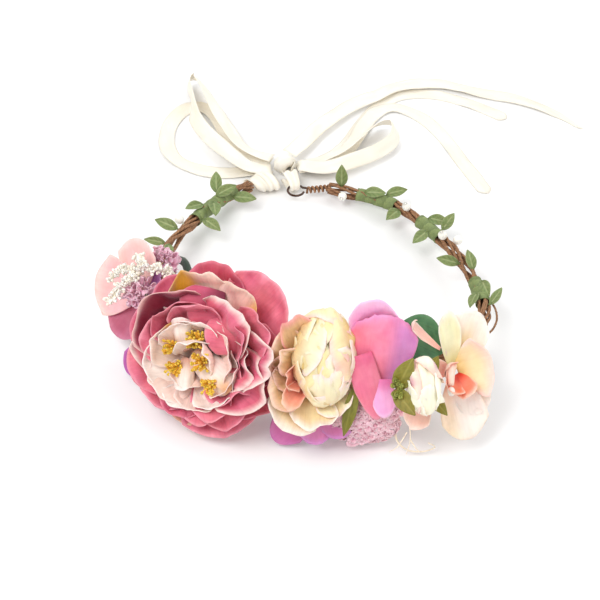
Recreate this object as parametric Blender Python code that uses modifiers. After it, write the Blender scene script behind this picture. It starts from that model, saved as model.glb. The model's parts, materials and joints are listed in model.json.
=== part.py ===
"""Flower crown: silk flowers on a twisted vine with a ribbon tie, lying on a table.

The vine is an open oval of three twisted, paper-covered wires. Its front rises
off the table on the flowers' lower petals, and its two ends at the back finish
in wire eyelets that a satin ribbon joins in a bow. All sizes are in metres and
+Z is up; routes and places are listed in millimetres and scaled by MM.
"""

import math

import bmesh
import bpy
from mathutils import Matrix, Vector

MM = 0.001
UP = Vector((0.0, 0.0, 1.0))
MERGE_DISTANCE = 0.01 * MM
ROUTE_SAMPLES = 400
COLLECTION_NAME = "flower_crown"

# The crown is designed round the vine's oval, then moved so that the origin is
# under the middle of the whole piece.
CENTRE_SHIFT = Vector((-27.5, -70.0, 0.0)) * MM

# Vine oval, as points on its own plane: across, and from front to back.
VINE_TILT = math.radians(9.0)
VINE_PLANE_HEIGHT = 24.0 * MM
VINE_ROUTE = [
    (-46, 103), (-62, 83), (-80, 42), (-86, 5), (-70, -32), (-35, -56), (5, -64),
    (45, -61), (78, -44), (93, -10), (88, 28), (70, 66), (42, 98), (2, 110),
]
STRAND_COUNT = 3
STRAND_RADIUS = 1.5 * MM
STRAND_OFFSET = 2.1 * MM
STRAND_PITCH = 80.0 * MM
STRAND_POINTS_PER_TURN = 10

TAPE_INNER_RADIUS = 4.2 * MM
TAPE_THICKNESS = 0.6 * MM
TAPE_SPANS = {
    "tape_wrap_left_end": (0.025, 0.105),
    "tape_wrap_right_end": (0.915, 0.965),
    "tape_wrap_right_middle": (0.835, 0.875),
    "tape_wrap_right_side": (0.705, 0.745),
}

EYELET_RADIUS = 5.0 * MM
EYELET_WIRE_RADIUS = 0.7 * MM
EYELET_OPENING = math.radians(25)
EYELET_STEPS = 16

LEAF_LENGTH = 14.0 * MM
LEAF_WIDTH = 7.5 * MM
LEAF_THICKNESS = 0.5 * MM
LEAF_HOLLOW = 0.5 * MM
ROOT_REACH_ON_TAPE = 5.6 * MM
ROOT_REACH_ON_BARK = 4.3 * MM
BERRY_RADIUS = 2.6 * MM
BERRY_BOTTOM = 1.1 * BERRY_RADIUS
BERRY_TOP = 1.3 * BERRY_RADIUS

FELT_OFFSET = 4.9 * MM
FELT_HALF_HEIGHT = 9.0 * MM
FELT_THICKNESS = 1.4 * MM
FELT_PLACES = (0.20, 0.24, 0.28, 0.33, 0.38, 0.43, 0.49, 0.54, 0.58, 0.62)

PETAL_THICKNESS = 0.8 * MM
STEM_HOLE = 2.4 * MM
PETAL_FOOT = 0.12
RIBBON_WIDTH = 10.0 * MM
RIBBON_THICKNESS = 0.5 * MM
BIGHT_WIDTH = 6.4 * MM
BIGHT_CELLS = 12

PEONY_CENTRE = Vector((-53, -70, 41)) * MM
PEONY_AXIS = Vector((-0.25, -0.72, 0.62)).normalized()
ROSE_CENTRE = Vector((6, -81, 46)) * MM
ROSE_AXIS = Vector((0.10, -0.72, 0.68)).normalized()
LEFT_ORCHID_CENTRE = Vector((-93, -28, 35)) * MM
LEFT_ORCHID_AXIS = Vector((-0.62, -0.62, 0.48)).normalized()
PEACH_ORCHID_CENTRE = Vector((77, -68, 41)) * MM
PEACH_ORCHID_AXIS = Vector((0.25, -0.72, 0.62)).normalized()

COLOURS = {
    "bark_paper": ((0.33, 0.12, 0.06), 0.75, 0.0),
    "bare_wire": ((0.16, 0.08, 0.05), 0.45, 0.8),
    "green_tape": ((0.22, 0.30, 0.12), 0.6, 0.0),
    "sage_leaf": ((0.26, 0.33, 0.12), 0.55, 0.0),
    "dark_leaf": ((0.04, 0.15, 0.05), 0.5, 0.0),
    "berry": ((0.85, 0.84, 0.78), 0.35, 0.0),
    "felt": ((0.05, 0.09, 0.04), 0.95, 0.0),
    "rose_pink_silk": ((0.68, 0.12, 0.22), 0.7, 0.0),
    "blush_silk": ((0.85, 0.58, 0.50), 0.7, 0.0),
    "yellow_stamen": ((0.75, 0.50, 0.08), 0.8, 0.0),
    "cream_silk": ((0.85, 0.76, 0.50), 0.7, 0.0),
    "peach_silk": ((0.86, 0.62, 0.50), 0.7, 0.0),
    "pale_pink_silk": ((0.82, 0.48, 0.52), 0.7, 0.0),
    "violet_silk": ((0.56, 0.20, 0.52), 0.7, 0.0),
    "mauve_silk": ((0.66, 0.28, 0.48), 0.8, 0.0),
    "ivory_satin": ((0.88, 0.84, 0.76), 0.35, 0.0),
}


# --- scene helpers ---------------------------------------------------------


def clear_scene():
    for old in list(bpy.data.objects):
        bpy.data.objects.remove(old, do_unlink=True)


def make_collection():
    collection = bpy.data.collections.new(COLLECTION_NAME)
    bpy.context.scene.collection.children.link(collection)
    return collection


def make_material(name):
    colour, roughness, metallic = COLOURS[name]
    material = bpy.data.materials.get(name)
    if material:
        return material
    material = bpy.data.materials.new(name)
    material.use_nodes = True
    shader = material.node_tree.nodes["Principled BSDF"]
    shader.inputs["Base Color"].default_value = (*colour, 1.0)
    shader.inputs["Roughness"].default_value = roughness
    shader.inputs["Metallic"].default_value = metallic
    return material


clear_scene()
CROWN = make_collection()
CENTRE = bpy.data.objects.new("crown_centre", None)
CROWN.objects.link(CENTRE)
CENTRE.location = CENTRE_SHIFT


def add_object(name, data, material):
    obj = bpy.data.objects.new(name, data)
    obj.data.materials.append(make_material(material))
    CROWN.objects.link(obj)
    obj.parent = CENTRE
    return obj


def millimetres(points):
    return [Vector(point) * MM for point in points]


def profile_in_mm(profile):
    return [(radius * MM, height * MM) for radius, height in profile]


def axis_frame(centre, axis, spin=0.0):
    """A frame at centre whose Z is the axis and whose Y leans upwards."""
    across = UP.cross(axis).normalized()
    upward = axis.cross(across)
    turn = Matrix((across, upward, axis)).transposed().to_4x4()
    return Matrix.Translation(centre) @ turn @ Matrix.Rotation(spin, 4, "Z")


# --- routes ----------------------------------------------------------------


def curve_point(points, place):
    """A point on the smooth curve through the points; place runs from 0 to 1."""
    last = len(points) - 1
    index = min(int(place * last), last - 1)
    t = place * last - index
    before = points[index - 1] if index else 2 * points[0] - points[1]
    after = points[index + 2] if index + 2 <= last else 2 * points[last] - points[last - 1]
    start, end = points[index], points[index + 1]
    return 0.5 * (
        2 * start
        + (end - before) * t
        + (2 * before - 5 * start + 4 * end - after) * t * t
        + (3 * start - before - 3 * end + after) * t ** 3
    )


def even_route(points, count):
    """The smooth curve through the points, as count + 1 evenly spaced ones."""
    fine = [curve_point(points, sample / ROUTE_SAMPLES) for sample in range(ROUTE_SAMPLES + 1)]
    travelled = [0.0]
    for first, second in zip(fine, fine[1:]):
        travelled.append(travelled[-1] + (second - first).length)
    route = []
    place = 0
    for step in range(count + 1):
        goal = travelled[-1] * step / count
        while place < ROUTE_SAMPLES - 1 and travelled[place + 1] < goal:
            place += 1
        part = (goal - travelled[place]) / (travelled[place + 1] - travelled[place])
        route.append(fine[place].lerp(fine[place + 1], part))
    return route


def route_length(points):
    route = even_route(points, ROUTE_SAMPLES)
    return sum((second - first).length for first, second in zip(route, route[1:]))


def tangent_at(route, index):
    ahead = route[min(index + 1, len(route) - 1)]
    behind = route[max(index - 1, 0)]
    return (ahead - behind).normalized()


def on_vine_plane(across, back, rise=0.0):
    sine = math.sin(VINE_TILT)
    cosine = math.cos(VINE_TILT)
    height = VINE_PLANE_HEIGHT - back * sine + rise * cosine
    return Vector((across, back * cosine + rise * sine, height))


VINE_UP = Vector((0.0, math.sin(VINE_TILT), math.cos(VINE_TILT)))
VINE_LINE = [on_vine_plane(x * MM, y * MM) for x, y in VINE_ROUTE]
VINE_SAMPLES = even_route(VINE_LINE, ROUTE_SAMPLES)


def vine_frame(place):
    """The vine's middle at a place from 0 to 1 of its length, its direction and its inner side."""
    index = round(place * (len(VINE_SAMPLES) - 1))
    forward = tangent_at(VINE_SAMPLES, index)
    return VINE_SAMPLES[index], forward, VINE_UP.cross(forward)


def root_beside_vine(place, direction):
    """Where a stalk starts: just off the vine, or off its tape, on the side that direction points to."""
    middle, forward, _ = vine_frame(place)
    taped = any(start <= place <= end for start, end in TAPE_SPANS.values())
    reach = ROOT_REACH_ON_TAPE if taped else ROOT_REACH_ON_BARK
    outward = Vector(direction)
    outward = (outward - forward * outward.dot(forward)).normalized()
    return middle + outward * reach


# --- shape makers ----------------------------------------------------------


def wire(name, points, radius, material):
    curve = bpy.data.curves.new(name, "CURVE")
    curve.dimensions = "3D"
    spline = curve.splines.new("POLY")
    spline.points.add(len(points) - 1)
    for target, point in zip(spline.points, points):
        target.co = (*point, 1.0)
    curve.bevel_depth = radius
    curve.bevel_resolution = 2
    curve.use_fill_caps = True
    curve.resolution_u = 1
    curve.render_resolution_u = 0
    return add_object(name, curve, material)


def sheet(name, place, cells_across, cells_along, thickness, material, frame=None, closed=False):
    """A thin sheet: a grid bent to place(across, along), both from 0 to 1, and thickened.

    closed joins edges that meet, so that a strip becomes a ring.
    """
    mesh = bpy.data.meshes.new(name)
    grid = bmesh.new()
    bmesh.ops.create_grid(grid, x_segments=cells_across, y_segments=cells_along, size=0.5)
    for vertex in grid.verts:
        vertex.co = place(vertex.co.x + 0.5, vertex.co.y + 0.5)
    if closed:
        bmesh.ops.remove_doubles(grid, verts=grid.verts, dist=MERGE_DISTANCE)
    grid.to_mesh(mesh)
    grid.free()
    mesh.shade_smooth()
    obj = add_object(name, mesh, material)
    if frame:
        obj.matrix_local = frame
    solid = obj.modifiers.new("thickness", "SOLIDIFY")
    solid.thickness = thickness
    solid.offset = 0.0
    return obj


def turned(name, profile, material, frame, steps=12):
    """A round piece turned about its frame's Z from a profile of (radius, height), top to bottom."""
    mesh = bpy.data.meshes.new(name)
    outline = bmesh.new()
    corners = [outline.verts.new((radius, 0.0, height)) for radius, height in profile]
    for first, second in zip(corners, corners[1:]):
        outline.edges.new((first, second))
    outline.to_mesh(mesh)
    outline.free()
    obj = add_object(name, mesh, material)
    obj.matrix_local = frame
    screw = obj.modifiers.new("turn", "SCREW")
    screw.steps = steps
    screw.render_steps = steps
    screw.use_merge_vertices = True
    screw.merge_threshold = MERGE_DISTANCE
    return obj


def egg_profile(radius, bottom, top, rows=5):
    """Half an egg from its top to its bottom; its widest part is at height 0."""
    profile = []
    for row in range(2 * rows + 1):
        angle = math.pi * row / (2 * rows)
        reach = top if row <= rows else bottom
        profile.append((max(0.0, radius * math.sin(angle)), reach * math.cos(angle)))
    profile[0] = (0.0, top)
    profile[-1] = (0.0, -bottom)
    return profile


def blossom(
    name, frame, size, base, height, bowl, lobes, notch, material, spin=0.0, cells=(24, 3)
):
    """A die-cut petal layer: a lobed bowl with a hole for the stem.

    size is its half width and half height, base the height of its middle, and
    bowl the angle, in degrees, that its wall has turned through at the rim.
    notch is how deep the gaps between the lobes are cut, as a part of the reach.
    """
    turn = math.radians(bowl)
    wide, tall = size

    def place(around, out):
        angle = 2 * math.pi * around
        spread = math.sin(turn * out) / math.sin(min(turn, math.pi / 2))
        gap = 1.0 - abs(math.cos(lobes * (angle - spin) / 2)) ** 0.6
        lobe = 1.0 - notch * out * out * gap
        rise = height * (1.0 - math.cos(turn * out)) / (1.0 - math.cos(turn))
        x = (STEM_HOLE + (wide - STEM_HOLE) * spread) * lobe * math.cos(angle)
        y = (STEM_HOLE + (tall - STEM_HOLE) * spread) * lobe * math.sin(angle)
        return Vector((x, y, base + rise))

    return sheet(name, place, *cells, PETAL_THICKNESS, material, frame, closed=True)


def petal(
    name, base, tip, facing, width, cup, material,
    tip_width=0.45, cells=(4, 5), thickness=PETAL_THICKNESS,
):
    """One petal or leaf from base to tip, both in millimetres, hollow towards facing by cup."""
    base, tip = base * MM, tip * MM
    along = tip - base
    length = along.length
    along = along.normalized()
    across = along.cross(facing).normalized()
    front = across.cross(along)

    def place(u, v):
        side = 2 * u - 1
        swell = math.sin(math.pi * (0.06 + 0.94 * v) ** 0.8) ** 0.75 if v < 1 else 0.0
        half = 0.5 * width * max(swell, PETAL_FOOT + (tip_width - PETAL_FOOT) * v)
        lift = cup * (side * side + (2 * v - 1) ** 2)
        return base + along * (length * v) + across * (half * side) + front * lift

    return sheet(name, place, *cells, thickness, material)


def ribbon(name, route):
    """A strip of ribbon; each route point is x, y, z and its lean from flat, in degrees.

    A degree of lean counts as a millimetre when the route is divided evenly, so
    a part that turns over gets more of the points.
    """
    count = 2 * len(route)
    line = even_route([Vector(point) for point in route], count)
    steps = [Vector(point[:3]) * MM for point in line]

    def place(u, v):
        index = round(v * count)
        forward = tangent_at(steps, index)
        flat = UP.cross(forward).normalized()
        lean = math.radians(line[index][3])
        side = flat * math.cos(lean) + UP * math.sin(lean)
        return steps[index] + side * ((u - 0.5) * RIBBON_WIDTH)

    return sheet(name, place, 1, count, RIBBON_THICKNESS, "ivory_satin")


# --- vine ------------------------------------------------------------------


def around_vine(place, angle, radius):
    middle, _, inner = vine_frame(place)
    return middle + radius * (math.cos(angle) * inner + math.sin(angle) * VINE_UP)


def build_strands():
    turns = route_length(VINE_LINE) / STRAND_PITCH
    count = round(turns * STRAND_POINTS_PER_TURN)
    for strand in range(STRAND_COUNT):
        points = []
        for index in range(count + 1):
            place = index / count
            angle = 2 * math.pi * (strand / STRAND_COUNT + turns * place)
            points.append(around_vine(place, angle, STRAND_OFFSET))
        wire(f"vine_strand_{strand + 1}", points, STRAND_RADIUS, "bark_paper")


def build_tape():
    """Tape sleeves round the vine, from one place on it to another."""
    radius = TAPE_INNER_RADIUS + TAPE_THICKNESS / 2
    for name, (start, end) in TAPE_SPANS.items():

        def place(around, along, start=start, end=end):
            return around_vine(start + (end - start) * along, 2 * math.pi * around, radius)

        sheet(name, place, 10, 5, TAPE_THICKNESS, "green_tape", closed=True)


def eyelet(name, centre, shank_from):
    """A ring of wire, nearly closed, with a shank back to the vine's end."""
    ring = Vector(centre) * MM
    start = Vector(shank_from) * MM
    towards = (start - ring).normalized()
    sideways = UP.cross(towards).normalized()
    points = [start, start.lerp(ring + towards * EYELET_RADIUS, 0.6)]
    for step in range(EYELET_STEPS + 1):
        angle = EYELET_OPENING + 2 * (math.pi - EYELET_OPENING) * step / EYELET_STEPS
        spoke = math.cos(angle) * towards + math.sin(angle) * sideways
        points.append(ring + EYELET_RADIUS * spoke)
    wire(name, points, EYELET_WIRE_RADIUS, "bare_wire")


def build_eyelets():
    eyelet("wire_eyelet_left", (-38, 109, 6), (-45.6, 103.5, 7.2))
    eyelet("wire_eyelet_right", (-18, 104, 6), (0.7, 108.6, 6.9))


# Each leaf: its place along the vine, the side it comes out of, the way it grows
# and the way its face turns.
VINE_LEAVES = [
    (0.046, (-0.5, 0.6, 0.4), (-0.15, 0.85, 0.35), (-0.3, -0.6, 1)),
    (0.036, (1, -0.3, 0.3), (1, -0.1, 0.1), (0.2, -0.5, 1)),
    (0.100, (1, -0.2, 0.3), (0.75, -0.6, 0), (0.3, -0.4, 1)),
    (0.134, (-1, 0.2, 0.4), (-0.95, 0.25, 0.15), (-0.2, -0.5, 1)),
    (0.165, (-1, 0, 0.3), (-1, 0, 0.1), (-0.2, -0.6, 1)),
    (0.985, (0, 0.3, 1), (-0.1, 0.25, 1), (0, -1, 0.3)),
    (0.905, (-0.6, -0.8, 0.4), (-0.5, -0.8, 0.1), (0, -0.5, 1)),
    (0.850, (-0.5, -0.8, 0.4), (-0.55, -0.8, 0), (0, -0.5, 1)),
    (0.780, (-1, 0, 0.3), (-1, 0.1, 0.1), (0, -0.6, 1)),
    (0.760, (0.3, 0, 1), (-0.3, 0.8, 0.4), (0.3, -0.6, 1)),
]


def build_leaves():
    for number, (place, side, growth, facing) in enumerate(VINE_LEAVES, start=1):
        base = root_beside_vine(place, side)
        tip = base + Vector(growth).normalized() * LEAF_LENGTH
        petal(
            f"vine_leaf_{number:02d}", base / MM, tip / MM, Vector(facing), LEAF_WIDTH,
            LEAF_HOLLOW, "sage_leaf", tip_width=0.15, cells=(2, 5), thickness=LEAF_THICKNESS,
        )


# Each berry: its place along the vine and the side that its stalk comes out of.
BERRIES = [
    (0.122, (-0.8, 0.2, 0.6)),
    (0.980, (0, -1, 0.2)),
    (0.895, (0, -0.5, 1)),
    (0.815, (0.8, 0.2, 0.6)),
]


def build_berries():
    """Berries on short stalks, each turned as one piece."""
    for number, (place, side) in enumerate(BERRIES, start=1):
        root = root_beside_vine(place, side)
        outward = (root - vine_frame(place)[0]).normalized()
        profile = egg_profile(BERRY_RADIUS, BERRY_BOTTOM, BERRY_TOP, rows=3)
        frame = axis_frame(root + outward * BERRY_BOTTOM, outward)
        turned(f"berry_{number}", profile, "berry", frame, steps=8)


def build_felt():
    """A felt band along the head side of the vine's front, in flat stretches."""
    last = len(FELT_PLACES) - 1

    def place(u, v):
        middle, _, inner = vine_frame(FELT_PLACES[round(v * last)])
        return middle + inner * FELT_OFFSET + VINE_UP * (2 * u - 1) * FELT_HALF_HEIGHT

    sheet("felt_backing", place, 1, last, FELT_THICKNESS, "felt")


# --- flowers ---------------------------------------------------------------


def build_peony():
    frame = axis_frame(PEONY_CENTRE, PEONY_AXIS)
    # name, half width, half height, base, rise, bowl, lobes, notch, spin and colour
    layers = [
        ("peony_guard_petals", 42, 42, -16.0, 12, 62, 6, 0.16, 0.2, "rose_pink_silk"),
        ("peony_outer_petals", 37, 37, -13.5, 16, 72, 7, 0.14, 0.7, "rose_pink_silk"),
        ("peony_middle_petals", 30, 30, -11.0, 20, 82, 7, 0.14, 0.0, "blush_silk"),
        ("peony_inner_petals", 21, 21, -8.5, 21, 92, 6, 0.14, 0.5, "blush_silk"),
    ]
    for name, wide, tall, base, rise, bowl, lobes, notch, spin, colour in layers:
        size = (wide * MM, tall * MM)
        blossom(name, frame, size, base * MM, rise * MM, bowl, lobes, notch, colour, spin=spin)
    calyx = [(0, -6), (1.6, -6), (1.6, -17), (7, -17.6), (5, -18.6), (0, -19)]
    turned("peony_calyx", profile_in_mm(calyx), "sage_leaf", frame)
    stamens = [(0, 5), (5, 4.5), (9, 3), (9.5, 0), (5, -3.5), (2.2, -5.5), (0, -5.5)]
    turned("peony_stamens", profile_in_mm(stamens), "yellow_stamen", frame)


def build_rose():
    frame = axis_frame(ROSE_CENTRE, ROSE_AXIS)
    layers = [
        ("rose_outer_petals", 19, 25, -14, 13, 66, 5, 0.12, 0.3, "peach_silk"),
        ("rose_middle_petals", 18, 20, -11, 21, 100, 6, 0.10, 0.9, "cream_silk"),
    ]
    for name, wide, tall, base, rise, bowl, lobes, notch, spin, colour in layers:
        size = (wide * MM, tall * MM)
        blossom(name, frame, size, base * MM, rise * MM, bowl, lobes, notch, colour, spin=spin)
    heart = Matrix.Translation(ROSE_AXIS * 3 * MM) @ frame
    turned("rose_heart", egg_profile(13 * MM, 9.5 * MM, 14 * MM, rows=4), "cream_silk", heart)


def build_left_flowers():
    frame = axis_frame(LEFT_ORCHID_CENTRE, LEFT_ORCHID_AXIS)
    size = (24 * MM, 22 * MM)
    blossom(
        "left_orchid_petals", frame, size, -6 * MM, 8 * MM, 60, 5, 0.35, "pale_pink_silk", spin=0.3
    )
    column = [(0, 3), (2.5, 1.5), (2.8, -1), (1.6, -4), (1.6, -14), (0, -14)]
    turned("left_orchid_column", profile_in_mm(column), "mauve_silk", frame)
    petal(
        "left_violet_petal", Vector((-82, -38, 18)), Vector((-94, -49, 0.5)),
        Vector((-0.5, -0.7, 0.5)), 19 * MM, 1 * MM, "violet_silk",
    )
    heather = axis_frame(Vector((-85, -6, 43)) * MM, Vector((-0.3, -0.4, 1)).normalized())
    turned("heather_cluster", egg_profile(9 * MM, 7 * MM, 9 * MM, rows=3), "mauve_silk", heather)
    sprig = axis_frame(Vector((-98, -34, 52)) * MM, Vector((-0.8, -0.3, -0.5)).normalized())
    beads = [(0, 20), (2.5, 17), (3.5, 10), (3.5, 0), (2.5, -10), (0.8, -14), (0.8, -20), (0, -20)]
    turned("cream_sprig", profile_in_mm(beads), "cream_silk", sprig, steps=8)


def build_violet():
    petal(
        "violet_upper_petal", Vector((34, -68, 50)), Vector((29, -64, 83)), Vector((0, -1, 0.3)),
        29 * MM, 2 * MM, "violet_silk",
    )
    petal(
        "violet_middle_petal", Vector((33, -74, 42)), Vector((44, -74, 67)), Vector((0, -1, 0.4)),
        23 * MM, 2 * MM, "violet_silk",
    )
    petal(
        "violet_lower_petal", Vector((37, -80, 40)), Vector((39, -95, 24)), Vector((0, -0.7, 0.7)),
        12 * MM, 1 * MM, "violet_silk",
    )
    petal(
        "violet_side_petal", Vector((1, -78, 20)), Vector((-15, -90, 1)), Vector((0, -0.7, 0.7)),
        20 * MM, 1 * MM, "violet_silk",
    )


def build_hydrangea():
    """A mound of small crinkled florets, as one bumpy egg that stands on the table."""
    mesh = bpy.data.meshes.new("hydrangea_cluster")
    ball = bmesh.new()
    bmesh.ops.create_uvsphere(ball, u_segments=14, v_segments=8, radius=1.0)
    for vertex in ball.verts:
        bump = 1.0 + 0.05 * math.sin(5 * vertex.co.x + 2) * math.sin(6 * vertex.co.z)
        vertex.co = Vector((vertex.co.x * 21, vertex.co.y * 9, vertex.co.z * 14)) * bump * MM
    ball.to_mesh(mesh)
    ball.free()
    mesh.shade_smooth()
    obj = add_object("hydrangea_cluster", mesh, "mauve_silk")
    obj.location = Vector((26, -84, 14.5)) * MM


def build_bud():
    frame = axis_frame(Vector((58.5, -89, 52)) * MM, Vector((0.2, -0.7, 0.7)).normalized())
    turned("flower_bud", egg_profile(9.5 * MM, 9 * MM, 11 * MM, rows=4), "cream_silk", frame)
    size = (12.5 * MM, 12.5 * MM)
    blossom("bud_sepals", frame, size, -11 * MM, 6 * MM, 60, 5, 0.2, "sage_leaf", cells=(20, 2))


def build_peach_orchid():
    frame = axis_frame(PEACH_ORCHID_CENTRE, PEACH_ORCHID_AXIS)
    size = (22 * MM, 33 * MM)
    blossom("peach_orchid_petals", frame, size, -10 * MM, 9 * MM, 60, 5, 0.3, "peach_silk", spin=1.57)
    size = (12 * MM, 12 * MM)
    blossom(
        "peach_orchid_lip", frame, size, -6.5 * MM, 8 * MM, 75, 3, 0.25, "pale_pink_silk",
        spin=0.5, cells=(18, 2),
    )
    column = [(0, 5), (2.5, 3), (2.5, 0), (1.6, -4), (1.6, -16), (0, -16)]
    turned("peach_orchid_column", profile_in_mm(column), "pale_pink_silk", frame)


def build_greenery():
    petal(
        "broad_leaf", Vector((40, -56, 52)), Vector((64, -44, 45)), Vector((0, -0.5, 1)),
        18 * MM, 1.5 * MM, "dark_leaf", tip_width=0.2,
    )
    petal(
        "strap_leaf", Vector((26, -86, 40)), Vector((22, -97, 20)), Vector((0, -1, 0.3)),
        6 * MM, 0.3 * MM, "sage_leaf", tip_width=0.3, cells=(2, 4),
    )
    roots = [(48, -84, 14), (50, -88, 8), (56, -90, 4), (64, -89, 3), (70, -87, 5), (66, -88, 9)]
    points = even_route(millimetres(roots), 12)
    wire("root_filament", points, 0.6 * MM, "cream_silk")


# --- ribbon ----------------------------------------------------------------

# Every route point: x, y, z and the ribbon's lean from lying flat, in degrees.
RIBBON_ROUTES = {
    "bow_loop_left_long": [
        (-35, 130, 9, 10), (-53, 137, 9, 15), (-66, 156, 9, 20), (-79, 181, 9, 30),
        (-88, 199, 9, 45), (-95, 206, 9, 70), (-97, 196, 10, 80), (-92, 179, 10, 80),
        (-89, 163, 10, 60), (-80, 148, 9.5, 40), (-65, 133, 9, 20), (-49, 121, 8, 5),
        (-35, 123, 6, 5),
    ],
    "bow_loop_left_round": [
        (-36, 127, 2.2, 0), (-50, 123, 1.5, 0), (-67, 119, 1.5, 0), (-82, 121, 1.5, 0),
        (-96, 129, 1.5, 0), (-103, 142, 1.5, 0), (-104, 160, 1.5, 0), (-99, 176, 1.5, 0),
        (-90, 184, 1.5, 0), (-80, 180, 2, 0), (-72, 167, 3, 0), (-64, 152, 4, 0),
        (-53, 138, 4.5, 0), (-36, 131, 4.5, 0),
    ],
    "bow_loop_right": [
        (-18, 125, 9.8, 0), (-2, 125, 9.8, 15), (13, 133, 9.5, 35), (31, 147, 9.5, 50),
        (41, 162, 9.5, 60), (39, 177, 9.5, 60), (30, 176, 9.5, 55), (20, 163, 9.5, 45),
        (9, 147, 9.5, 35), (-4, 135, 9, 20), (-18, 128, 7, 5),
    ],
    "ribbon_tail_long": [
        (-25, 137, 8, 10), (-17, 151, 8, 15), (-7, 171, 7, 15), (10, 196, 5.5, 10), (26, 212, 4.5, 5),
        (43, 228, 3.5, 0), (70, 236, 2.8, 0), (97, 232, 2.2, 0), (127, 228, 1.6, 0), (148, 218, 1.2, 0),
        (166, 204, 0.8, 0),
    ],
    "ribbon_tail_back": [
        (-19, 131, 2.5, 0), (-4, 140, 2.2, 0), (9, 157, 1.4, 0), (21, 188, 0.8, 0), (35, 213, 0.8, 0),
        (50, 223, 0.8, 0), (70, 225, 0.8, 0), (94, 218, 0.8, 0), (115, 207, 0.8, 0),
    ],
    "ribbon_tail_front": [
        (-19, 127, 4.5, 0), (1, 137, 4.2, 0), (13, 157, 3.6, 0), (24, 190, 2.4, 0), (37, 205, 1.8, 0),
        (54, 201, 1.2, 0), (71, 183, 0.8, 0), (87, 153, 0.8, 0), (101, 127, 0.8, 0),
    ],
}


def bight(name, eyelet_centre, knot_side):
    """A ribbon bight through an eyelet: over its wire, down through the ring and back."""
    ring = Vector(eyelet_centre)
    knot = Vector(knot_side)
    away = (knot - ring).normalized()
    across = UP.cross(away).normalized()
    reach = (knot - ring).length
    side_view = [(reach, 2.4), (5, 2.6), (2.4, 1.6), (1.6, 0.0), (2.4, -1.6), (5, -2.6), (reach, -2.4)]
    line = even_route([Vector((d, h, 0)) for d, h in side_view], BIGHT_CELLS)

    def place(u, v):
        d, h, _ = line[round(v * BIGHT_CELLS)]
        return (ring + away * d + UP * h) * MM + across * (u - 0.5) * BIGHT_WIDTH

    sheet(name, place, 1, BIGHT_CELLS, RIBBON_THICKNESS, "ivory_satin")


def build_ribbon():
    for name, route in RIBBON_ROUTES.items():
        ribbon(name, route)
    bight("ribbon_bight_left", (-38, 109, 6), (-31.8, 119, 6))
    bight("ribbon_bight_right", (-18, 104, 6), (-23.5, 118, 6))
    frame = axis_frame(Vector((-27, 127, 7)) * MM, Vector((-0.5, 0.85, 0.1)).normalized())
    turned("ribbon_knot", egg_profile(6.2 * MM, 7.5 * MM, 7.5 * MM, rows=4), "ivory_satin", frame)


build_strands()
build_tape()
build_eyelets()
build_leaves()
build_berries()
build_felt()
build_peony()
build_rose()
build_left_flowers()
build_violet()
build_hydrangea()
build_bud()
build_peach_orchid()
build_greenery()
build_ribbon()
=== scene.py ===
"""Looks of the flower crown: silk flowers on a wire vine, tied at the back with satin ribbon.

All shapes are planned in millimetres in the crown's own design frame, and are moved
by SHIFT and scaled by MM when a mesh is made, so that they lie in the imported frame.
"""

import json
import math
import random

import bpy
from mathutils import Matrix, Vector, noise

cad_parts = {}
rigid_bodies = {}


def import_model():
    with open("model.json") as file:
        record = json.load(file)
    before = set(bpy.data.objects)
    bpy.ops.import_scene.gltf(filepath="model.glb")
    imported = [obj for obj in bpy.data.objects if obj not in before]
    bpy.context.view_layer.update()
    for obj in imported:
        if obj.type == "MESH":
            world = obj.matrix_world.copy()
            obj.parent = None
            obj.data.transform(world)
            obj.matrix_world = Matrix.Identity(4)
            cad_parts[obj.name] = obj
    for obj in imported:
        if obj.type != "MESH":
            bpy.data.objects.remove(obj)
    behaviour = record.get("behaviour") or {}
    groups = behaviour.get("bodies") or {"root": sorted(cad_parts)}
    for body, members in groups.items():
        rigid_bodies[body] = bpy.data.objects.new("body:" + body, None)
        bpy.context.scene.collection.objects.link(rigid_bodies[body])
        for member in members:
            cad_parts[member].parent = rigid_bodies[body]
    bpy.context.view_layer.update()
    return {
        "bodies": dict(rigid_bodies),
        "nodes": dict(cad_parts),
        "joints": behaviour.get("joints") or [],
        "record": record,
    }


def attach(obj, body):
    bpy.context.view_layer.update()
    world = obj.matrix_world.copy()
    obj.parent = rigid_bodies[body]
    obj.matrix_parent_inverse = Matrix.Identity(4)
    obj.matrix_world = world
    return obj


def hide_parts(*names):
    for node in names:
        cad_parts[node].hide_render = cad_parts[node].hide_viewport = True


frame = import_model()

MM = 0.001
SHIFT = Vector((-27.5, -70.0, 0.0))
UP = Vector((0.0, 0.0, 1.0))
ROUTE_SAMPLES = 600
LOWEST = 0.35  # the floor side of anything that lies on the floor

# --- the vine's line, as in the CAD ----------------------------------------------

VINE_TILT = math.radians(9.0)
VINE_PLANE_HEIGHT = 24.0
VINE_ROUTE = [
    (-46, 103), (-62, 83), (-80, 42), (-86, 5), (-70, -32), (-35, -56), (5, -64),
    (45, -61), (78, -44), (93, -10), (88, 28), (70, 66), (42, 98), (2, 110),
]
TAPE_SPANS = {
    "tape_wrap_left_end": (0.025, 0.105),
    "tape_wrap_right_end": (0.915, 0.965),
    "tape_wrap_right_middle": (0.835, 0.875),
    "tape_wrap_right_side": (0.705, 0.745),
}
TAPE_REACH = 4.9
BARK_REACH = 3.6


def curve_point(points, place):
    """A point on the smooth curve through the points; place runs from 0 to 1."""
    last = len(points) - 1
    index = min(int(place * last), last - 1)
    t = place * last - index
    before = points[index - 1] if index else 2 * points[0] - points[1]
    after = points[index + 2] if index + 2 <= last else 2 * points[last] - points[last - 1]
    start, end = points[index], points[index + 1]
    return 0.5 * (
        2 * start
        + (end - before) * t
        + (2 * before - 5 * start + 4 * end - after) * t * t
        + (3 * start - before - 3 * end + after) * t ** 3
    )


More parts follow.
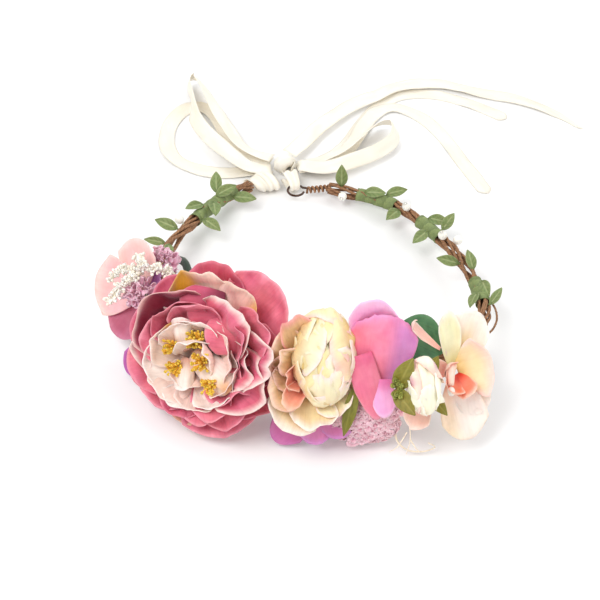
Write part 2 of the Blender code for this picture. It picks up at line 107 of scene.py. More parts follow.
def even_route(points, count):
    """The smooth curve through the points, as count + 1 evenly spaced ones."""
    points = [Vector(p) for p in points]
    fine = [curve_point(points, i / ROUTE_SAMPLES) for i in range(ROUTE_SAMPLES + 1)]
    travelled = [0.0]
    for first, second in zip(fine, fine[1:]):
        travelled.append(travelled[-1] + (second - first).length)
    route = []
    place = 0
    for step in range(count + 1):
        goal = travelled[-1] * step / count
        while place < ROUTE_SAMPLES - 1 and travelled[place + 1] < goal:
            place += 1
        part = (goal - travelled[place]) / (travelled[place + 1] - travelled[place])
        route.append(fine[place].lerp(fine[place + 1], part))
    return route


def route_length(route):
    return sum((second - first).length for first, second in zip(route, route[1:]))


def tangent_at(route, index):
    ahead = route[min(index + 1, len(route) - 1)]
    behind = route[max(index - 1, 0)]
    return (ahead - behind).normalized()


def on_vine_plane(across, back):
    sine, cosine = math.sin(VINE_TILT), math.cos(VINE_TILT)
    return Vector((across, back * cosine, VINE_PLANE_HEIGHT - back * sine))


VINE_UP = Vector((0.0, math.sin(VINE_TILT), math.cos(VINE_TILT)))
VINE_SAMPLES = even_route([on_vine_plane(x, y) for x, y in VINE_ROUTE], 800)


def vine_frame(place):
    """The vine's middle at a place from 0 to 1, its direction and its inner side."""
    index = round(place * (len(VINE_SAMPLES) - 1))
    forward = tangent_at(VINE_SAMPLES, index)
    return VINE_SAMPLES[index], forward, VINE_UP.cross(forward).normalized()


def around_vine(place, angle, radius):
    middle, _, inner = vine_frame(place)
    return middle + radius * (math.cos(angle) * inner + math.sin(angle) * VINE_UP)


def beside_vine(place, direction):
    """Where a stalk starts: on the vine's or its tape's surface, on the side of direction."""
    middle, forward, _ = vine_frame(place)
    taped = any(start <= place <= end for start, end in TAPE_SPANS.values())
    outward = Vector(direction)
    outward = (outward - forward * outward.dot(forward)).normalized()
    return middle + outward * (TAPE_REACH if taped else BARK_REACH)


def axis_frame(centre, axis, spin=0.0):
    """A frame at centre whose Z is the axis and whose Y leans upwards."""
    axis = Vector(axis).normalized()
    across = UP.cross(axis).normalized()
    turn = Matrix((across, axis.cross(across), axis)).transposed().to_4x4()
    return Matrix.Translation(centre) @ turn @ Matrix.Rotation(math.radians(spin), 4, "Z")


# --- colours ---------------------------------------------------------------------


def colour(code):
    """A linear colour from its hex code."""
    parts = [int(code[i:i + 2], 16) / 255 for i in (1, 3, 5)]
    return Vector([c / 12.92 if c <= 0.04045 else ((c + 0.055) / 1.055) ** 2.4 for c in parts])


def paint(code):
    """A socket's colour from its hex code."""
    return (*colour(code), 1.0)


def ease(value, low, high):
    """0 below low, 1 above high and smooth between."""
    t = min(1.0, max(0.0, (value - low) / (high - low)))
    return t * t * (3 - 2 * t)


def shade(root, body, rim, rim_from=0.8, root_to=0.45, side=None, stains=()):
    """A petal's colours: root to body along it, its rim, and optional side and stains.

    side is (colour, from, to) across the petal, and a stain is
    (colour, across, along, radius, amount).
    """
    root, body, rim = colour(root), colour(body), colour(rim)
    side_colour = colour(side[0]) if side else None
    spots = [(colour(c), u, v, r, a) for c, u, v, r, a in stains]

    def tint(u, v, edge):
        # The root colour, darker towards the petal's base, is partly the cloth's own colour and
        # partly painted shade of the flower's depth.
        made = root.lerp(body, ease(v, 0.0, root_to))
        if side:
            made = made.lerp(side_colour, ease(u, side[1], side[2]))
        made = made.lerp(rim, ease(edge, rim_from, 1.0))
        for spot, across, along, radius, amount in spots:
            distance = math.hypot(u - across, v - along)
            made = made.lerp(spot, amount * (1.0 - ease(distance, 0.25 * radius, radius)))
        return made

    return tint


# --- node materials --------------------------------------------------------------


NOISE_RANGE = (0.3, 0.7)


def plug(tree, target, inputs):
    """Links the inputs that are sockets and sets the others."""
    for key, value in inputs.items():
        if isinstance(value, bpy.types.NodeSocket):
            tree.links.new(value, target.inputs[key])
        else:
            target.inputs[key].default_value = value


def node(tree, kind, settings=None, inputs=None):
    made = tree.nodes.new(kind)
    for key, value in (settings or {}).items():
        setattr(made, key, value)
    plug(tree, made, inputs or {})
    return made


def spread(tree, value, low, high, to_low, to_high):
    """value mapped from low..high to to_low..to_high, and kept inside it."""
    inputs = {"From Min": low, "From Max": high, "To Min": to_low, "To Max": to_high}
    return node(tree, "ShaderNodeMapRange", None, {"Value": value, **inputs}).outputs["Result"]


def swing(tree, noisy, to_low, to_high):
    """A noise's usual range, mapped to to_low..to_high."""
    return spread(tree, noisy, *NOISE_RANGE, to_low, to_high)


def calculate(tree, operation, first, second):
    return node(tree, "ShaderNodeMath", {"operation": operation}, {0: first, 1: second}).outputs[0]


def noise_value(tree, vector, scale, detail=2.0, distortion=0.0):
    inputs = {"Vector": vector, "Scale": scale, "Detail": detail, "Distortion": distortion}
    return node(tree, "ShaderNodeTexNoise", None, inputs).outputs[0]


def stretched(tree, vector, scale):
    return node(tree, "ShaderNodeMapping", None, {"Vector": vector, "Scale": scale}).outputs[0]


def mixed(tree, factor, first, second, blend="MIX"):
    settings = {"data_type": "RGBA", "blend_type": blend}
    return node(tree, "ShaderNodeMix", settings, {0: factor, 6: first, 7: second}).outputs[2]


def bumped(tree, height, strength, distance, under=None):
    inputs = {"Height": height, "Strength": strength, "Distance": distance}
    if under:
        inputs["Normal"] = under
    return node(tree, "ShaderNodeBump", None, inputs).outputs[0]


def new_material(name):
    """A material, its tree, and its coordinates: in the object and on the cloth."""
    material = bpy.data.materials.new(name)
    material.use_nodes = True
    tree = material.node_tree
    spots = node(tree, "ShaderNodeTexCoord").outputs
    return material, tree, spots["Object"], spots["UV"]


def mesh_tint(tree):
    """The colour that the mesh carries at each point."""
    return node(tree, "ShaderNodeAttribute", {"attribute_name": "tint"}).outputs["Color"]


def finished(material, values):
    """The material, once its shader's inputs have these values."""
    tree = material.node_tree
    plug(tree, tree.nodes["Principled BSDF"], values)
    return material


def weave_height(tree, places, threads):
    """Over and under threads; places are millimetres on the cloth, threads are per millimetre."""
    waves = []
    for direction in ("X", "Y"):
        settings = {"wave_type": "BANDS", "bands_direction": direction, "wave_profile": "SIN"}
        inputs = {"Vector": places, "Scale": threads, "Distortion": 0.4, "Detail": 1.0}
        waves.append(node(tree, "ShaderNodeTexWave", settings, inputs).outputs[1])
    return calculate(tree, "MULTIPLY", waves[0], waves[1])


def cloth(name, veins=0.35, mottle=0.10, rough=0.62, sheen=0.25, glow=0.12, fleck=None):
    """Woven flower cloth in the mesh's tint (dye and painted shade), with veins along it and a fine
    weave.
    """
    material, tree, body, places = new_material(name)
    tint = mesh_tint(tree)
    blotch = noise_value(tree, body, 130.0, 3.0, 0.4)
    streak = noise_value(tree, stretched(tree, places, (0.75, 0.07, 1.0)), 1.0, 3.0, 0.6)
    value = swing(tree, blotch, 1.0 - mottle, 1.0 + mottle)
    value = calculate(tree, "MULTIPLY", value, swing(tree, streak, 1.0 - 0.3 * veins, 1.04))
    inputs = {
        "Hue": swing(tree, noise_value(tree, body, 60.0, 1.0), 0.493, 0.507),
        "Saturation": swing(tree, blotch, 1.06, 0.96),
        "Value": value,
        "Color": tint,
    }
    dyed_and_shaded = node(tree, "ShaderNodeHueSaturation", None, inputs).outputs[0]
    if fleck:
        speck = noise_value(tree, body, 420.0, 2.0, 1.0)
        dyed_and_shaded = mixed(tree, spread(tree, speck, 0.58, 0.66, 0.0, 0.8), dyed_and_shaded, paint(fleck))
    normal = bumped(tree, streak, veins, 0.0006)
    normal = bumped(tree, blotch, 0.25, 0.0005, normal)
    normal = bumped(tree, weave_height(tree, places, 1.4), 0.25, 0.00008, normal)
    values = {
        "Base Color": dyed_and_shaded,
        "Roughness": swing(tree, blotch, rough - 0.06, rough + 0.08),
        "Normal": normal,
        "Sheen Weight": sheen,
        "Sheen Roughness": 0.45,
        "Specular IOR Level": 0.3,
        "Subsurface Weight": glow,
        "Subsurface Radius": (1.0, 0.45, 0.35),
        "Subsurface Scale": 0.002,
    }
    return finished(material, values)


def satin(name):
    """Ivory satin: fine threads along the ribbon and a soft gloss across them."""
    material, tree, body, places = new_material(name)
    tint = mesh_tint(tree)
    cloudy = noise_value(tree, body, 70.0, 3.0, 0.5)
    thread = noise_value(tree, stretched(tree, places, (9.0, 0.25, 1.0)), 1.0, 2.0)
    light, fine = swing(tree, cloudy, 0.96, 1.02), swing(tree, thread, 0.97, 1.02)
    inputs = {"Value": calculate(tree, "MULTIPLY", light, fine), "Color": tint}
    dyed_and_shaded = node(tree, "ShaderNodeHueSaturation", None, inputs).outputs[0]
    normal = bumped(tree, cloudy, 0.3, 0.001)
    normal = bumped(tree, thread, 0.3, 0.00006, normal)
    values = {
        "Base Color": dyed_and_shaded,
        "Roughness": swing(tree, thread, 0.34, 0.46),
        "Normal": normal,
        "Sheen Weight": 0.2,
        "Sheen Roughness": 0.3,
        "Anisotropic": 0.4,
        "Specular IOR Level": 0.45,
        "Subsurface Weight": 0.15,
        "Subsurface Radius": (1.0, 0.8, 0.6),
        "Subsurface Scale": 0.002,
    }
    return finished(material, values)


def bark(name):
    """Twisted brown paper round a wire: fine turns, fibres, painted shade and painted highlights.
    """
    material, tree, body, places = new_material(name)
    fibre = noise_value(tree, stretched(tree, places, (2.0, 0.35, 1.0)), 1.0, 4.0, 0.8)
    patch = noise_value(tree, body, 90.0, 3.0)
    settings = {"wave_type": "BANDS", "bands_direction": "DIAGONAL"}
    inputs = {"Vector": places, "Scale": 0.22, "Distortion": 3.0, "Detail": 2.0}
    wrap = node(tree, "ShaderNodeTexWave", settings, inputs).outputs[1]
    # The fibre noise is also the bump: low fibres take the dark brown, partly the paper's tone and
    # partly painted shade in the crevices.
    dark = spread(tree, fibre, 0.35, 0.65, 0.0, 1.0)
    made = mixed(tree, dark, paint("#674530"), paint("#AB7E5A"))
    made = mixed(tree, spread(tree, patch, 0.5, 0.75, 0.0, 0.55), made, paint("#492E1D"))
    # The pale tan on the raised ridge of each turn is a painted highlight.
    made = mixed(tree, spread(tree, wrap, 0.85, 1.0, 0.0, 0.45), made, paint("#BA9069"))
    normal = bumped(tree, fibre, 0.6, 0.0003)
    normal = bumped(tree, wrap, 0.5, 0.0003, normal)
    values = {
        "Base Color": made,
        "Roughness": swing(tree, fibre, 0.6, 0.82),
        "Normal": normal,
        "Specular IOR Level": 0.3,
    }
    return finished(material, values)


def tape(name):
    """Stretched green paper tape: crepe ridges round the vine, with painted shade in their hollows.
    """
    material, tree, body, places = new_material(name)
    tint = mesh_tint(tree)
    crepe = noise_value(tree, stretched(tree, places, (0.5, 2.4, 1.0)), 1.0, 3.0, 0.5)
    patch = noise_value(tree, body, 160.0, 3.0)
    # The crepe noise that lifts the ridges also darkens the hollows between them: painted shade.
    made = mixed(tree, 1.0, tint, swing(tree, crepe, 0.72, 1.12), "MULTIPLY")
    made = mixed(tree, spread(tree, patch, 0.5, 0.75, 0.0, 0.4), made, paint("#5E6B38"))
    normal = bumped(tree, crepe, 0.6, 0.0003)
    values = {"Base Color": made, "Roughness": swing(tree, patch, 0.5, 0.7), "Normal": normal}
    return finished(material, values)


def felt(name):
    """Dark green felt: matted fibres."""
    material, tree, body, _ = new_material(name)
    mat = noise_value(tree, body, 1500.0, 4.0, 1.5)
    patch = noise_value(tree, body, 150.0, 2.0)
    made = mixed(tree, spread(tree, mat, 0.35, 0.65, 0.0, 1.0), paint("#18301C"), paint("#31502F"))
    made = mixed(tree, spread(tree, patch, 0.4, 0.7, 0.0, 0.4), made, paint("#22301E"))
    values = {
        "Base Color": made,
        "Roughness": swing(tree, mat, 0.85, 1.0),
        "Normal": bumped(tree, mat, 0.8, 0.0004),
        "Sheen Weight": 0.4,
        "Sheen Roughness": 0.6,
    }
    return finished(material, values)


def pearl(name, gloss=0.3):
    """Foam berries and lacquered buds: faint mottling and a soft gloss."""
    material, tree, body, _ = new_material(name)
    tint = mesh_tint(tree)
    patch = noise_value(tree, body, 500.0, 3.0, 0.5)
    made = mixed(tree, 1.0, tint, swing(tree, patch, 0.86, 1.05), "MULTIPLY")
    values = {
        "Base Color": made,
        "Roughness": swing(tree, patch, gloss, gloss + 0.2),
        "Normal": bumped(tree, patch, 0.35, 0.0003),
        "Subsurface Weight": 0.1,
        "Subsurface Radius": (1.0, 0.8, 0.6),
        "Subsurface Scale": 0.002,
    }
    return finished(material, values)


def dark_wire(name):
    """Bare annealed wire: drawn scratches along it and brown oxide."""
    material, tree, body, _ = new_material(name)
    scratch = noise_value(tree, body, 1800.0, 3.0)
    oxide = noise_value(tree, body, 260.0, 3.0)
    made = mixed(tree, spread(tree, oxide, 0.4, 0.65, 0.0, 1.0), paint("#6E5A52"), paint("#4A332A"))
    values = {
        "Base Color": made,
        "Roughness": swing(tree, scratch, 0.3, 0.55),
        "Metallic": 0.85,
        "Normal": bumped(tree, scratch, 0.3, 0.0001),
    }
    return finished(material, values)


PETAL = cloth("petal_cloth")
SMOOTH_PETAL = cloth("smooth_petal_cloth", veins=0.12, mottle=0.05, glow=0.18)
CRINKLED = cloth("crinkled_cloth", veins=0.5, mottle=0.16, sheen=0.5, rough=0.75)
FLECKED = cloth("flecked_cloth", veins=0.3, mottle=0.08, fleck="#C87C8E")
LEAF = cloth("leaf_cloth", veins=0.5, mottle=0.10, rough=0.5, sheen=0.1, glow=0.05)
SATIN = satin("ivory_satin_weave")
BARK = bark("brown_paper_bark")
TAPE = tape("green_crepe_tape")
FELT = felt("dark_green_felt")
PEARL = pearl("berry_pearl")
BUDS = pearl("cream_bud_foam", gloss=0.5)
POLLEN = pearl("yellow_pollen", gloss=0.6)
WIRE = dark_wire("dark_bare_wire")


# --- mesh pieces -----------------------------------------------------------------


class Piece:
    """The points, faces, tints and cloth places of one piece, in design millimetres."""

    def __init__(self, name, frame=None):
        self.name = name
        self.frame = frame or Matrix()
        self.points, self.faces, self.tints, self.places = [], [], [], []

    def grid(self, rows, closed=False):
        """Adds a grid of rows of (point, tint, place); closed joins each row's ends."""
        start, wide = len(self.points), len(rows[0])
        for row in rows:
            for point, tint, place in row:
                self.points.append((self.frame @ Vector(point) + SHIFT) * MM)
                self.tints.append((*tint, 1.0))
                self.places.append(place)
        last = wide if closed else wide - 1
        for row in range(len(rows) - 1):
            for column in range(last):
                here, beside = start + row * wide + column, start + row * wide + (column + 1) % wide
                self.faces.append((here, beside, beside + wide, here + wide))

    def surface(self, cells, at):
        """Adds a grid of at(u, v): u runs from -1 to 1 across it and v from 0 to 1 along it."""
        across, along = cells
        self.grid([
            [at(2 * i / across - 1, j / along) for i in range(across + 1)]
            for j in range(along + 1)
        ])

    def fan(self, row, tip, tint):
        """Closes the grid's row, given by its first point's number and length, to one tip."""
        first, wide = row
        self.points.append((self.frame @ Vector(tip) + SHIFT) * MM)
        self.tints.append((*tint, 1.0))
        self.places.append((0.0, 0.0))
        end = len(self.points) - 1
        for column in range(wide):
            self.faces.append((first + column, first + (column + 1) % wide, end))

    def make(self, material, node_name, slot, thickness=0.0):
        """Makes the piece's object, which stands for a CAD node or, with None, for nothing."""
        mesh = bpy.data.meshes.new(self.name)
        mesh.from_pydata([tuple(p) for p in self.points], [], self.faces)
        layer = mesh.uv_layers.new(name="places")
        for loop in mesh.loops:
            layer.data[loop.index].uv = self.places[loop.vertex_index]
        tint = mesh.color_attributes.new("tint", "FLOAT_COLOR", "POINT")
        for index, value in enumerate(self.tints):
            tint.data[index].color = value
        mesh.validate()
        mesh.shade_smooth()
        obj = bpy.data.objects.new(self.name, mesh)
        bpy.context.scene.collection.objects.link(obj)
        obj.data.materials.append(material)
        if thickness:
            solid = obj.modifiers.new("thickness", "SOLIDIFY")
            solid.thickness = thickness * MM
            solid.offset = 0.0
        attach(obj, "root")
        if node_name:
            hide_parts(node_name)
        return obj


def wobble(x, y, z):
    return noise.noise(Vector((x, y, z)))


# The names of the last numbers in a table's row of petals.
SHAPE = ("bend", "tip_bend", "cup", "ruffle", "seed", "narrow")
PETAL_STEPS = 40


def petal(
    piece, base, along, facing, length, width, tint, bend=0, tip_bend=0, cup=0, ruffle=0.0,
    seed=0.0, narrow=0.3, round_tip=0.3, point=0.0, crinkle=0.3, jag=0.0, cells=(14, 14),
):
    """A petal that grows from base along a direction, hollow towards facing.

    bend and tip_bend turn its middle line towards facing, in degrees; cup lifts its
    sides; ruffle waves its rim; narrow is its width at the base, as a share; point
    draws its tip in; jag cuts its rim; crinkle dents it all over.
    """
    along = Vector(along).normalized()
    facing = Vector(facing)
    facing = (facing - along * facing.dot(along)).normalized()
    across = along.cross(facing)
    line, turns = [(0.0, 0.0)], []
    for step in range(PETAL_STEPS + 1):
        v = step / PETAL_STEPS
        turns.append(math.radians(bend * v + tip_bend * ease(v, 0.6, 1.0)))
        ahead, rise = line[-1]
        stride = length / PETAL_STEPS
        line.append((ahead + stride * math.cos(turns[-1]), rise + stride * math.sin(turns[-1])))
    bow = math.radians(cup)

    def at(u, v):
        reach = 1 - round_tip * abs(u) ** 2.2 + jag * wobble(9 * u, seed, 3.1)
        place = min(v * reach, 1.06)
        swell = narrow + (1 - narrow) * math.sin(math.pi / 2 * min(1.0, place / 0.72)) ** 0.9
        swell *= 1 - point * ease(place, 0.45, 1.0) ** 0.8
        half = 0.5 * width * swell
        spot = min(place * PETAL_STEPS, PETAL_STEPS - 0.001)
        low = int(spot)
        (x0, z0), (x1, z1) = line[low], line[low + 1]
        ahead = x0 + (x1 - x0) * (spot - low)
        rise = z0 + (z1 - z0) * (spot - low)
        front = facing * math.cos(turns[low]) - along * math.sin(turns[low])
        if bow:
            sideways, lift = half * math.sin(bow * u) / bow, half * (1 - math.cos(bow * u)) / bow
        else:
            sideways, lift = half * u, 0.0
        edge = max(v, abs(u) ** 1.5 * ease(v, 0.15, 0.6))
        wave = 0.2 * math.sin(2.5 * math.pi * u + 6.3 * seed + 2.2 * v)
        wave += 1.5 * wobble(2.0 * u + seed, 1.6 * v, seed) + 0.4 * wobble(4.5 * u, 2.5 * v, seed)
        lift += ruffle * edge ** 2.2 * wave
        lift += crinkle * wobble(0.16 * sideways + seed, 0.16 * ahead, 2 * seed)
        spot = Vector(base) + along * ahead + facing * rise + across * sideways + front * lift
        return spot, tint(u, v, edge), (sideways, place * length)

    piece.surface(cells, at)


def ring_petal(piece, angle, radius, height, lean, length, width, tint, **options):
    """A petal that starts on a ring about the flower's axis; lean is 0 along it, 90 flat out."""
    turn, tilt = math.radians(angle), math.radians(lean)
    outward = Vector((math.cos(turn), math.sin(turn), 0.0))
    axis = Vector((0.0, 0.0, 1.0))
    base = outward * radius + axis * height
    along = axis * math.cos(tilt) + outward * math.sin(tilt)
    facing = axis * math.sin(tilt) - outward * math.cos(tilt)
    petal(piece, base, along, facing, length, width, tint, **options)


def straight_petal(piece, base, tip, facing, width, tint, **options):
    base, tip = Vector(base), Vector(tip)
    petal(piece, base, tip - base, facing, (tip - base).length, width, tint, **options)


def add_ring(piece, petals, **common):
    """Ring petals from rows of ring_petal's own arguments and then those of SHAPE."""
    for row in petals:
        ring_petal(piece, *row[:7], **{**common, **dict(zip(SHAPE, row[7:]))})


def add_straight(piece, petals, **common):
    """Straight petals from rows of straight_petal's own arguments and then those of SHAPE."""
    for row in petals:
        straight_petal(piece, *row[:5], **{**common, **dict(zip(SHAPE, row[5:]))})


def add_wraps(piece, centre, radii, wraps, **common):
    """Wrapped petals from rows of angle, start, end, reach, colours, layer and seed."""
    for angle, start, end, reach, tint, layer, seed in wraps:
        wrapped_petal(
            piece, centre, radii, angle, start, end, reach, tint, layer=layer, seed=seed, **common,
        )


def wrapped_petal(
    piece, centre, radii, angle, start, end, reach, tint, layer=0.0, flare=0.6, ruffle=0.8,
    seed=0.0, crumple=0.9, cells=(18, 18),
):
    """A petal that hugs an egg along a great circle towards its front, and over it past 90.

    start and end are degrees round from the egg's side, reach its half spread in
    degrees, radii the egg's half sizes and layer how far it stands off the egg.
    """
    turn = math.radians(angle)
    outward = Vector((math.cos(turn), math.sin(turn), 0.0))
    axis = Vector((0.0, 0.0, 1.0))
    sideways = outward.cross(axis)

    def at(u, v):
        place = v * (1 - 0.25 * abs(u) ** 2.4)
        around = math.radians(start + (end - start) * place)
        tilt = math.radians(reach * u * (0.8 + 0.2 * math.sin(math.pi * place)))
        out = (outward * math.cos(around) + axis * math.sin(around)) * math.cos(tilt)
        out += sideways * math.sin(tilt)
        edge = max(v, abs(u) ** 2 * ease(v, 0.2, 0.6))
        off = layer + flare * edge ** 3
        off += ruffle * edge ** 2 * (
            math.sin(8.0 * u + 5 * seed) * 0.4 + 1.3 * wobble(3.2 * u + seed, 2.6 * v, seed)
        )
        off += crumple * wobble(1.8 * u + 3 * seed, 2.4 * v + seed, 4.0 + seed)
        off += 0.35 * crumple * wobble(5 * u, 5 * v + seed, seed)
        spot = Vector(centre) + Vector([o * r for o, r in zip(out, radii)]) + out * off
        return spot, tint(u, v, edge), (radii[0] * u, v * 20)

    piece.surface(cells, at)


def tube(piece, points, radius, tint, sides=8, bump=0.0):
    """A round strand along the points; bump roughens its radius."""
    points = [Vector(p) for p in points]
    rows = []
    travelled = 0.0
    side = None
    for index, point in enumerate(points):
        forward = tangent_at(points, index)
        if side is None:
            side = forward.orthogonal().normalized()
        side = (side - forward * side.dot(forward)).normalized()
        other = forward.cross(side)
        if index:
            travelled += (point - points[index - 1]).length
        size = radius(index / (len(points) - 1)) if callable(radius) else radius
        row = []
        for step in range(sides):
            turn = 2 * math.pi * step / sides
            cosine, sine = math.cos(turn), math.sin(turn)
            reach = size * (1 + bump * wobble(3 * cosine, 3 * sine, 0.7 * travelled))
            place = (size * turn, travelled)
            at = point + reach * (cosine * side + sine * other)
            row.append((at, tint, place))
        rows.append(row)
    first = len(piece.points)
    piece.grid(rows, closed=True)
    last = len(piece.points) - sides
    piece.fan((last, sides), points[-1], tint)
    piece.fan((first, sides), points[0], tint)


def bead(piece, centre, axis, radius, length, tint, sides=10, rows=6, dimple=0.0, seed=0.0):
    """A closed bead or bud: an egg with a slight unevenness and, at its end, a dimple."""
    axis = Vector(axis).normalized()
    side = axis.orthogonal().normalized()
    other = axis.cross(side)
    made = []
    for j in range(1, rows):
        turn = math.pi * j / rows
        row = []
        for i in range(sides):
            around = 2 * math.pi * i / sides
            cosine, sine = math.cos(around), math.sin(around)
            reach = radius * math.sin(turn) * (1 + 0.08 * wobble(2 * cosine, 2 * sine, seed + j))
            at = Vector(centre) + axis * (0.5 * length * math.cos(turn))
            at += reach * (cosine * side + sine * other)
            row.append((at, tint, (radius * around, length * j / rows)))
        made.append(row)
    first = len(piece.points)
    piece.grid(made, closed=True)
    last = len(piece.points) - sides
    tip = Vector(centre) + axis * (0.5 * length * (1 - dimple))
    tail = Vector(centre) - axis * 0.5 * length
    piece.fan((first, sides), tip, tint)
    piece.fan((last, sides), tail, tint)


def leaf(
    piece, base, tip, facing, width, seed=0.0, green="#7F8F58", dark="#566A3C", pale="#B4BF8C",
    fold=0.2,
):
    """A pointed cloth leaf with a pressed, paler midrib and side veins."""
    base, tip = Vector(base), Vector(tip)
    along = (tip - base).normalized()
    facing = Vector(facing)
    facing = (facing - along * facing.dot(along)).normalized()
    across = along.cross(facing)
    length = (tip - base).length
    body, low, rib = colour(green), colour(dark), colour(pale)

    def at(u, v):
        taper = math.sin(math.pi * min(1.0, 0.04 + 0.96 * v) ** 0.85) ** 0.8
        half = 0.5 * width * max(0.06, taper)
        lift = fold * half * abs(u) + 0.18 * length * (v - v * v)
        lift -= 0.35 * wobble(2 * u, 4 * v, seed)
        vein = ease(abs(math.sin(14 * (v - 0.25 * abs(u)))), 0.8, 1.0)
        tint = body.lerp(low, 0.6 * vein + 0.25 * (1 - v))
        tint = tint.lerp(rib, 0.85 * (1 - ease(abs(u), 0.04, 0.22)) * (1 - 0.6 * v))
        tint = tint.lerp(rib, 0.35 * ease(abs(u), 0.8, 1.0))
        spot = base + along * length * v + across * half * u + facing * lift
        return spot, tint, (half * u, length * v)

    piece.surface((10, 14), at)


# --- camera, floor and light -----------------------------------------------------


CAMERA_ELEVATION, CAMERA_ROLL = math.radians(44), math.radians(6)
CAMERA_DISTANCE = 0.779
CAMERA_TARGET = SHIFT * MM + Vector((0, 0, 0.024))
CAMERA_SHIFT = (-0.025, -0.0167)
FLOOR_REACH = 3.0
# Each light: name, place, size and power.
LIGHTS = [
    ("key", (-0.5, -0.55, 0.95), 0.6, 7.0),
    ("fill", (0.8, -0.3, 0.8), 0.9, 3.0),
    ("back", (0.1, 0.9, 0.9), 0.9, 3.5),
]


def make_camera():
    sine, cosine = math.sin(CAMERA_ELEVATION), math.cos(CAMERA_ELEVATION)
    ahead = Vector((0, cosine, -sine))
    right, upward = Vector((1, 0, 0)), Vector((0, sine, cosine))
    turned_right = right * math.cos(CAMERA_ROLL) + upward * math.sin(CAMERA_ROLL)
    turned_up = upward * math.cos(CAMERA_ROLL) - right * math.sin(CAMERA_ROLL)
    data = bpy.data.cameras.new("camera")
    data.lens, data.sensor_width = 85, 36
    data.shift_x, data.shift_y = CAMERA_SHIFT
    camera = bpy.data.objects.new("camera", data)
    bpy.context.scene.collection.objects.link(camera)
    turn = Matrix((turned_right, turned_up, -ahead)).transposed().to_4x4()
    camera.matrix_world = Matrix.Translation(CAMERA_TARGET - ahead * CAMERA_DISTANCE) @ turn
    bpy.context.scene.camera = camera


def make_floor():
    mesh = bpy.data.meshes.new("floor")
    square = [(-1, -1), (1, -1), (1, 1), (-1, 1)]
    corners = [(x * FLOOR_REACH, y * FLOOR_REACH, 0) for x, y in square]
    mesh.from_pydata(corners, [], [(0, 1, 2, 3)])
    floor = bpy.data.objects.new("floor", mesh)
    bpy.context.scene.collection.objects.link(floor)
    material = bpy.data.materials.new("pale_floor")
    material.use_nodes = True
    finished(material, {"Base Color": (0.9, 0.9, 0.9, 1), "Roughness": 0.9})
    mesh.materials.append(material)


def make_light(name, location, size, energy):
    data = bpy.data.lights.new(name, "AREA")
    data.shape, data.size, data.energy = "DISK", size, energy
    light = bpy.data.objects.new(name, data)
    bpy.context.scene.collection.objects.link(light)
    light.location = location
    light.rotation_euler = (-Vector(location)).to_track_quat("-Z", "Y").to_euler()


def make_stage():
    make_camera()
    make_floor()
    for light in LIGHTS:
        make_light(*light)
    world = bpy.data.worlds.new("studio")
    world.use_nodes = True
    tree = world.node_tree
    plug(tree, tree.nodes["Background"], {"Color": (1, 1, 1, 1), "Strength": 0.75})
    bpy.context.scene.world = world
    bpy.context.scene.view_settings.view_transform = "Standard"


# --- vine ------------------------------------------------------------------------

WIRES = 8
WIRE_RADIUS = 0.85
VINE_TURNS = 6.4
VINE_STEPS = 360
VINE_LENGTH = 514
TAPE_LAP = 6.5


def make_vine():
    """Eight paper-covered wires, loosely twisted; each piece stands for one CAD strand."""
    shares = [(0, 1, 2), (3, 4, 5), (6, 7)]
    for number, wires in enumerate(shares, start=1):
        piece = Piece(f"vine_wires_{number}")
        for index in wires:
            points = []
            for step in range(VINE_STEPS + 1):
                place = step / VINE_STEPS
                turn = 2 * math.pi * (index / WIRES + VINE_TURNS * place)
                turn += 1.1 * wobble(9 * place, 2.3 * index, 0)
                reach = 2.7 + 1.1 * wobble(12 * place, 3.7 * index, 1)
                reach += 0.3 * math.sin(40 * place + index)
                points.append(around_vine(place, turn, reach))
            tube(piece, points, WIRE_RADIUS, colour("#955F48"), sides=8, bump=0.22)
        piece.make(BARK, f"vine_strand_{number}", "bark_paper")


def make_tape():
    """Crepe tape wound round the vine in overlapping turns, each lap a little higher."""
    light, dark = colour("#87965B"), colour("#5F7040")
    sides = 28
    for number, (name, (start, end)) in enumerate(TAPE_SPANS.items()):
        piece = Piece(name + "_crepe")
        length = (end - start) * VINE_LENGTH
        count = round(length * 1.4)
        rows = []
        for step in range(count + 1):
            place = start + (end - start) * step / count
            travelled = length * step / count
            row = []
            for side in range(sides):
                around = side / sides
                lap = travelled / TAPE_LAP + around + 0.25 * wobble(3 * around, 30 * place, 2)
                lap %= 1.0
                reach = 3.7 + 0.35 * lap + 0.7 * wobble(3 * around, 50 * place, number)
                spot = around_vine(place, 2 * math.pi * around, reach)
                # Each lap is darker where it tucks under the next one and lighter at its raised
                # edge: painted shade and painted highlight.
                row.append((spot, dark.lerp(light, 0.25 + 0.75 * lap), (30 * around, travelled)))
            rows.append(row)
        piece.grid(rows, closed=True)
        piece.make(TAPE, name, "green_tape", thickness=0.35)


# Each leaf: place on the vine, side it leaves from, growth, facing, length and width.
VINE_LEAVES = [
    (0.046, (-0.5, 0.6, 0.4), (-0.15, 0.85, 0.35), (-0.3, -0.6, 1), 14, 7.5),
    (0.036, (1, -0.3, 0.3), (1, -0.1, 0.1), (0.2, -0.5, 1), 14, 7.5),
    (0.100, (1, -0.2, 0.3), (0.75, -0.6, 0), (0.3, -0.4, 1), 14, 7.5),
    (0.134, (-1, 0.2, 0.4), (-0.95, 0.25, 0.15), (-0.2, -0.5, 1), 14, 7),
    (0.165, (-1, 0, 0.3), (-1, 0, 0.1), (-0.2, -0.6, 1), 12, 5),
    (0.985, (0, 0.3, 1), (-0.1, 0.25, 1), (0, -1, 0.3), 14, 7.5),
    (0.905, (-0.6, -0.8, 0.4), (-0.5, -0.8, 0.1), (0, -0.5, 1), 14, 7.5),
    (0.850, (-0.5, -0.8, 0.4), (-0.55, -0.8, 0), (0, -0.5, 1), 14, 7),
    (0.780, (-1, 0, 0.3), (-1, 0.1, 0.1), (0, -0.6, 1), 13, 6.5),
    (0.760, (0.3, 0, 1), (-0.3, 0.8, 0.4), (0.3, -0.6, 1), 12, 6.5),
]
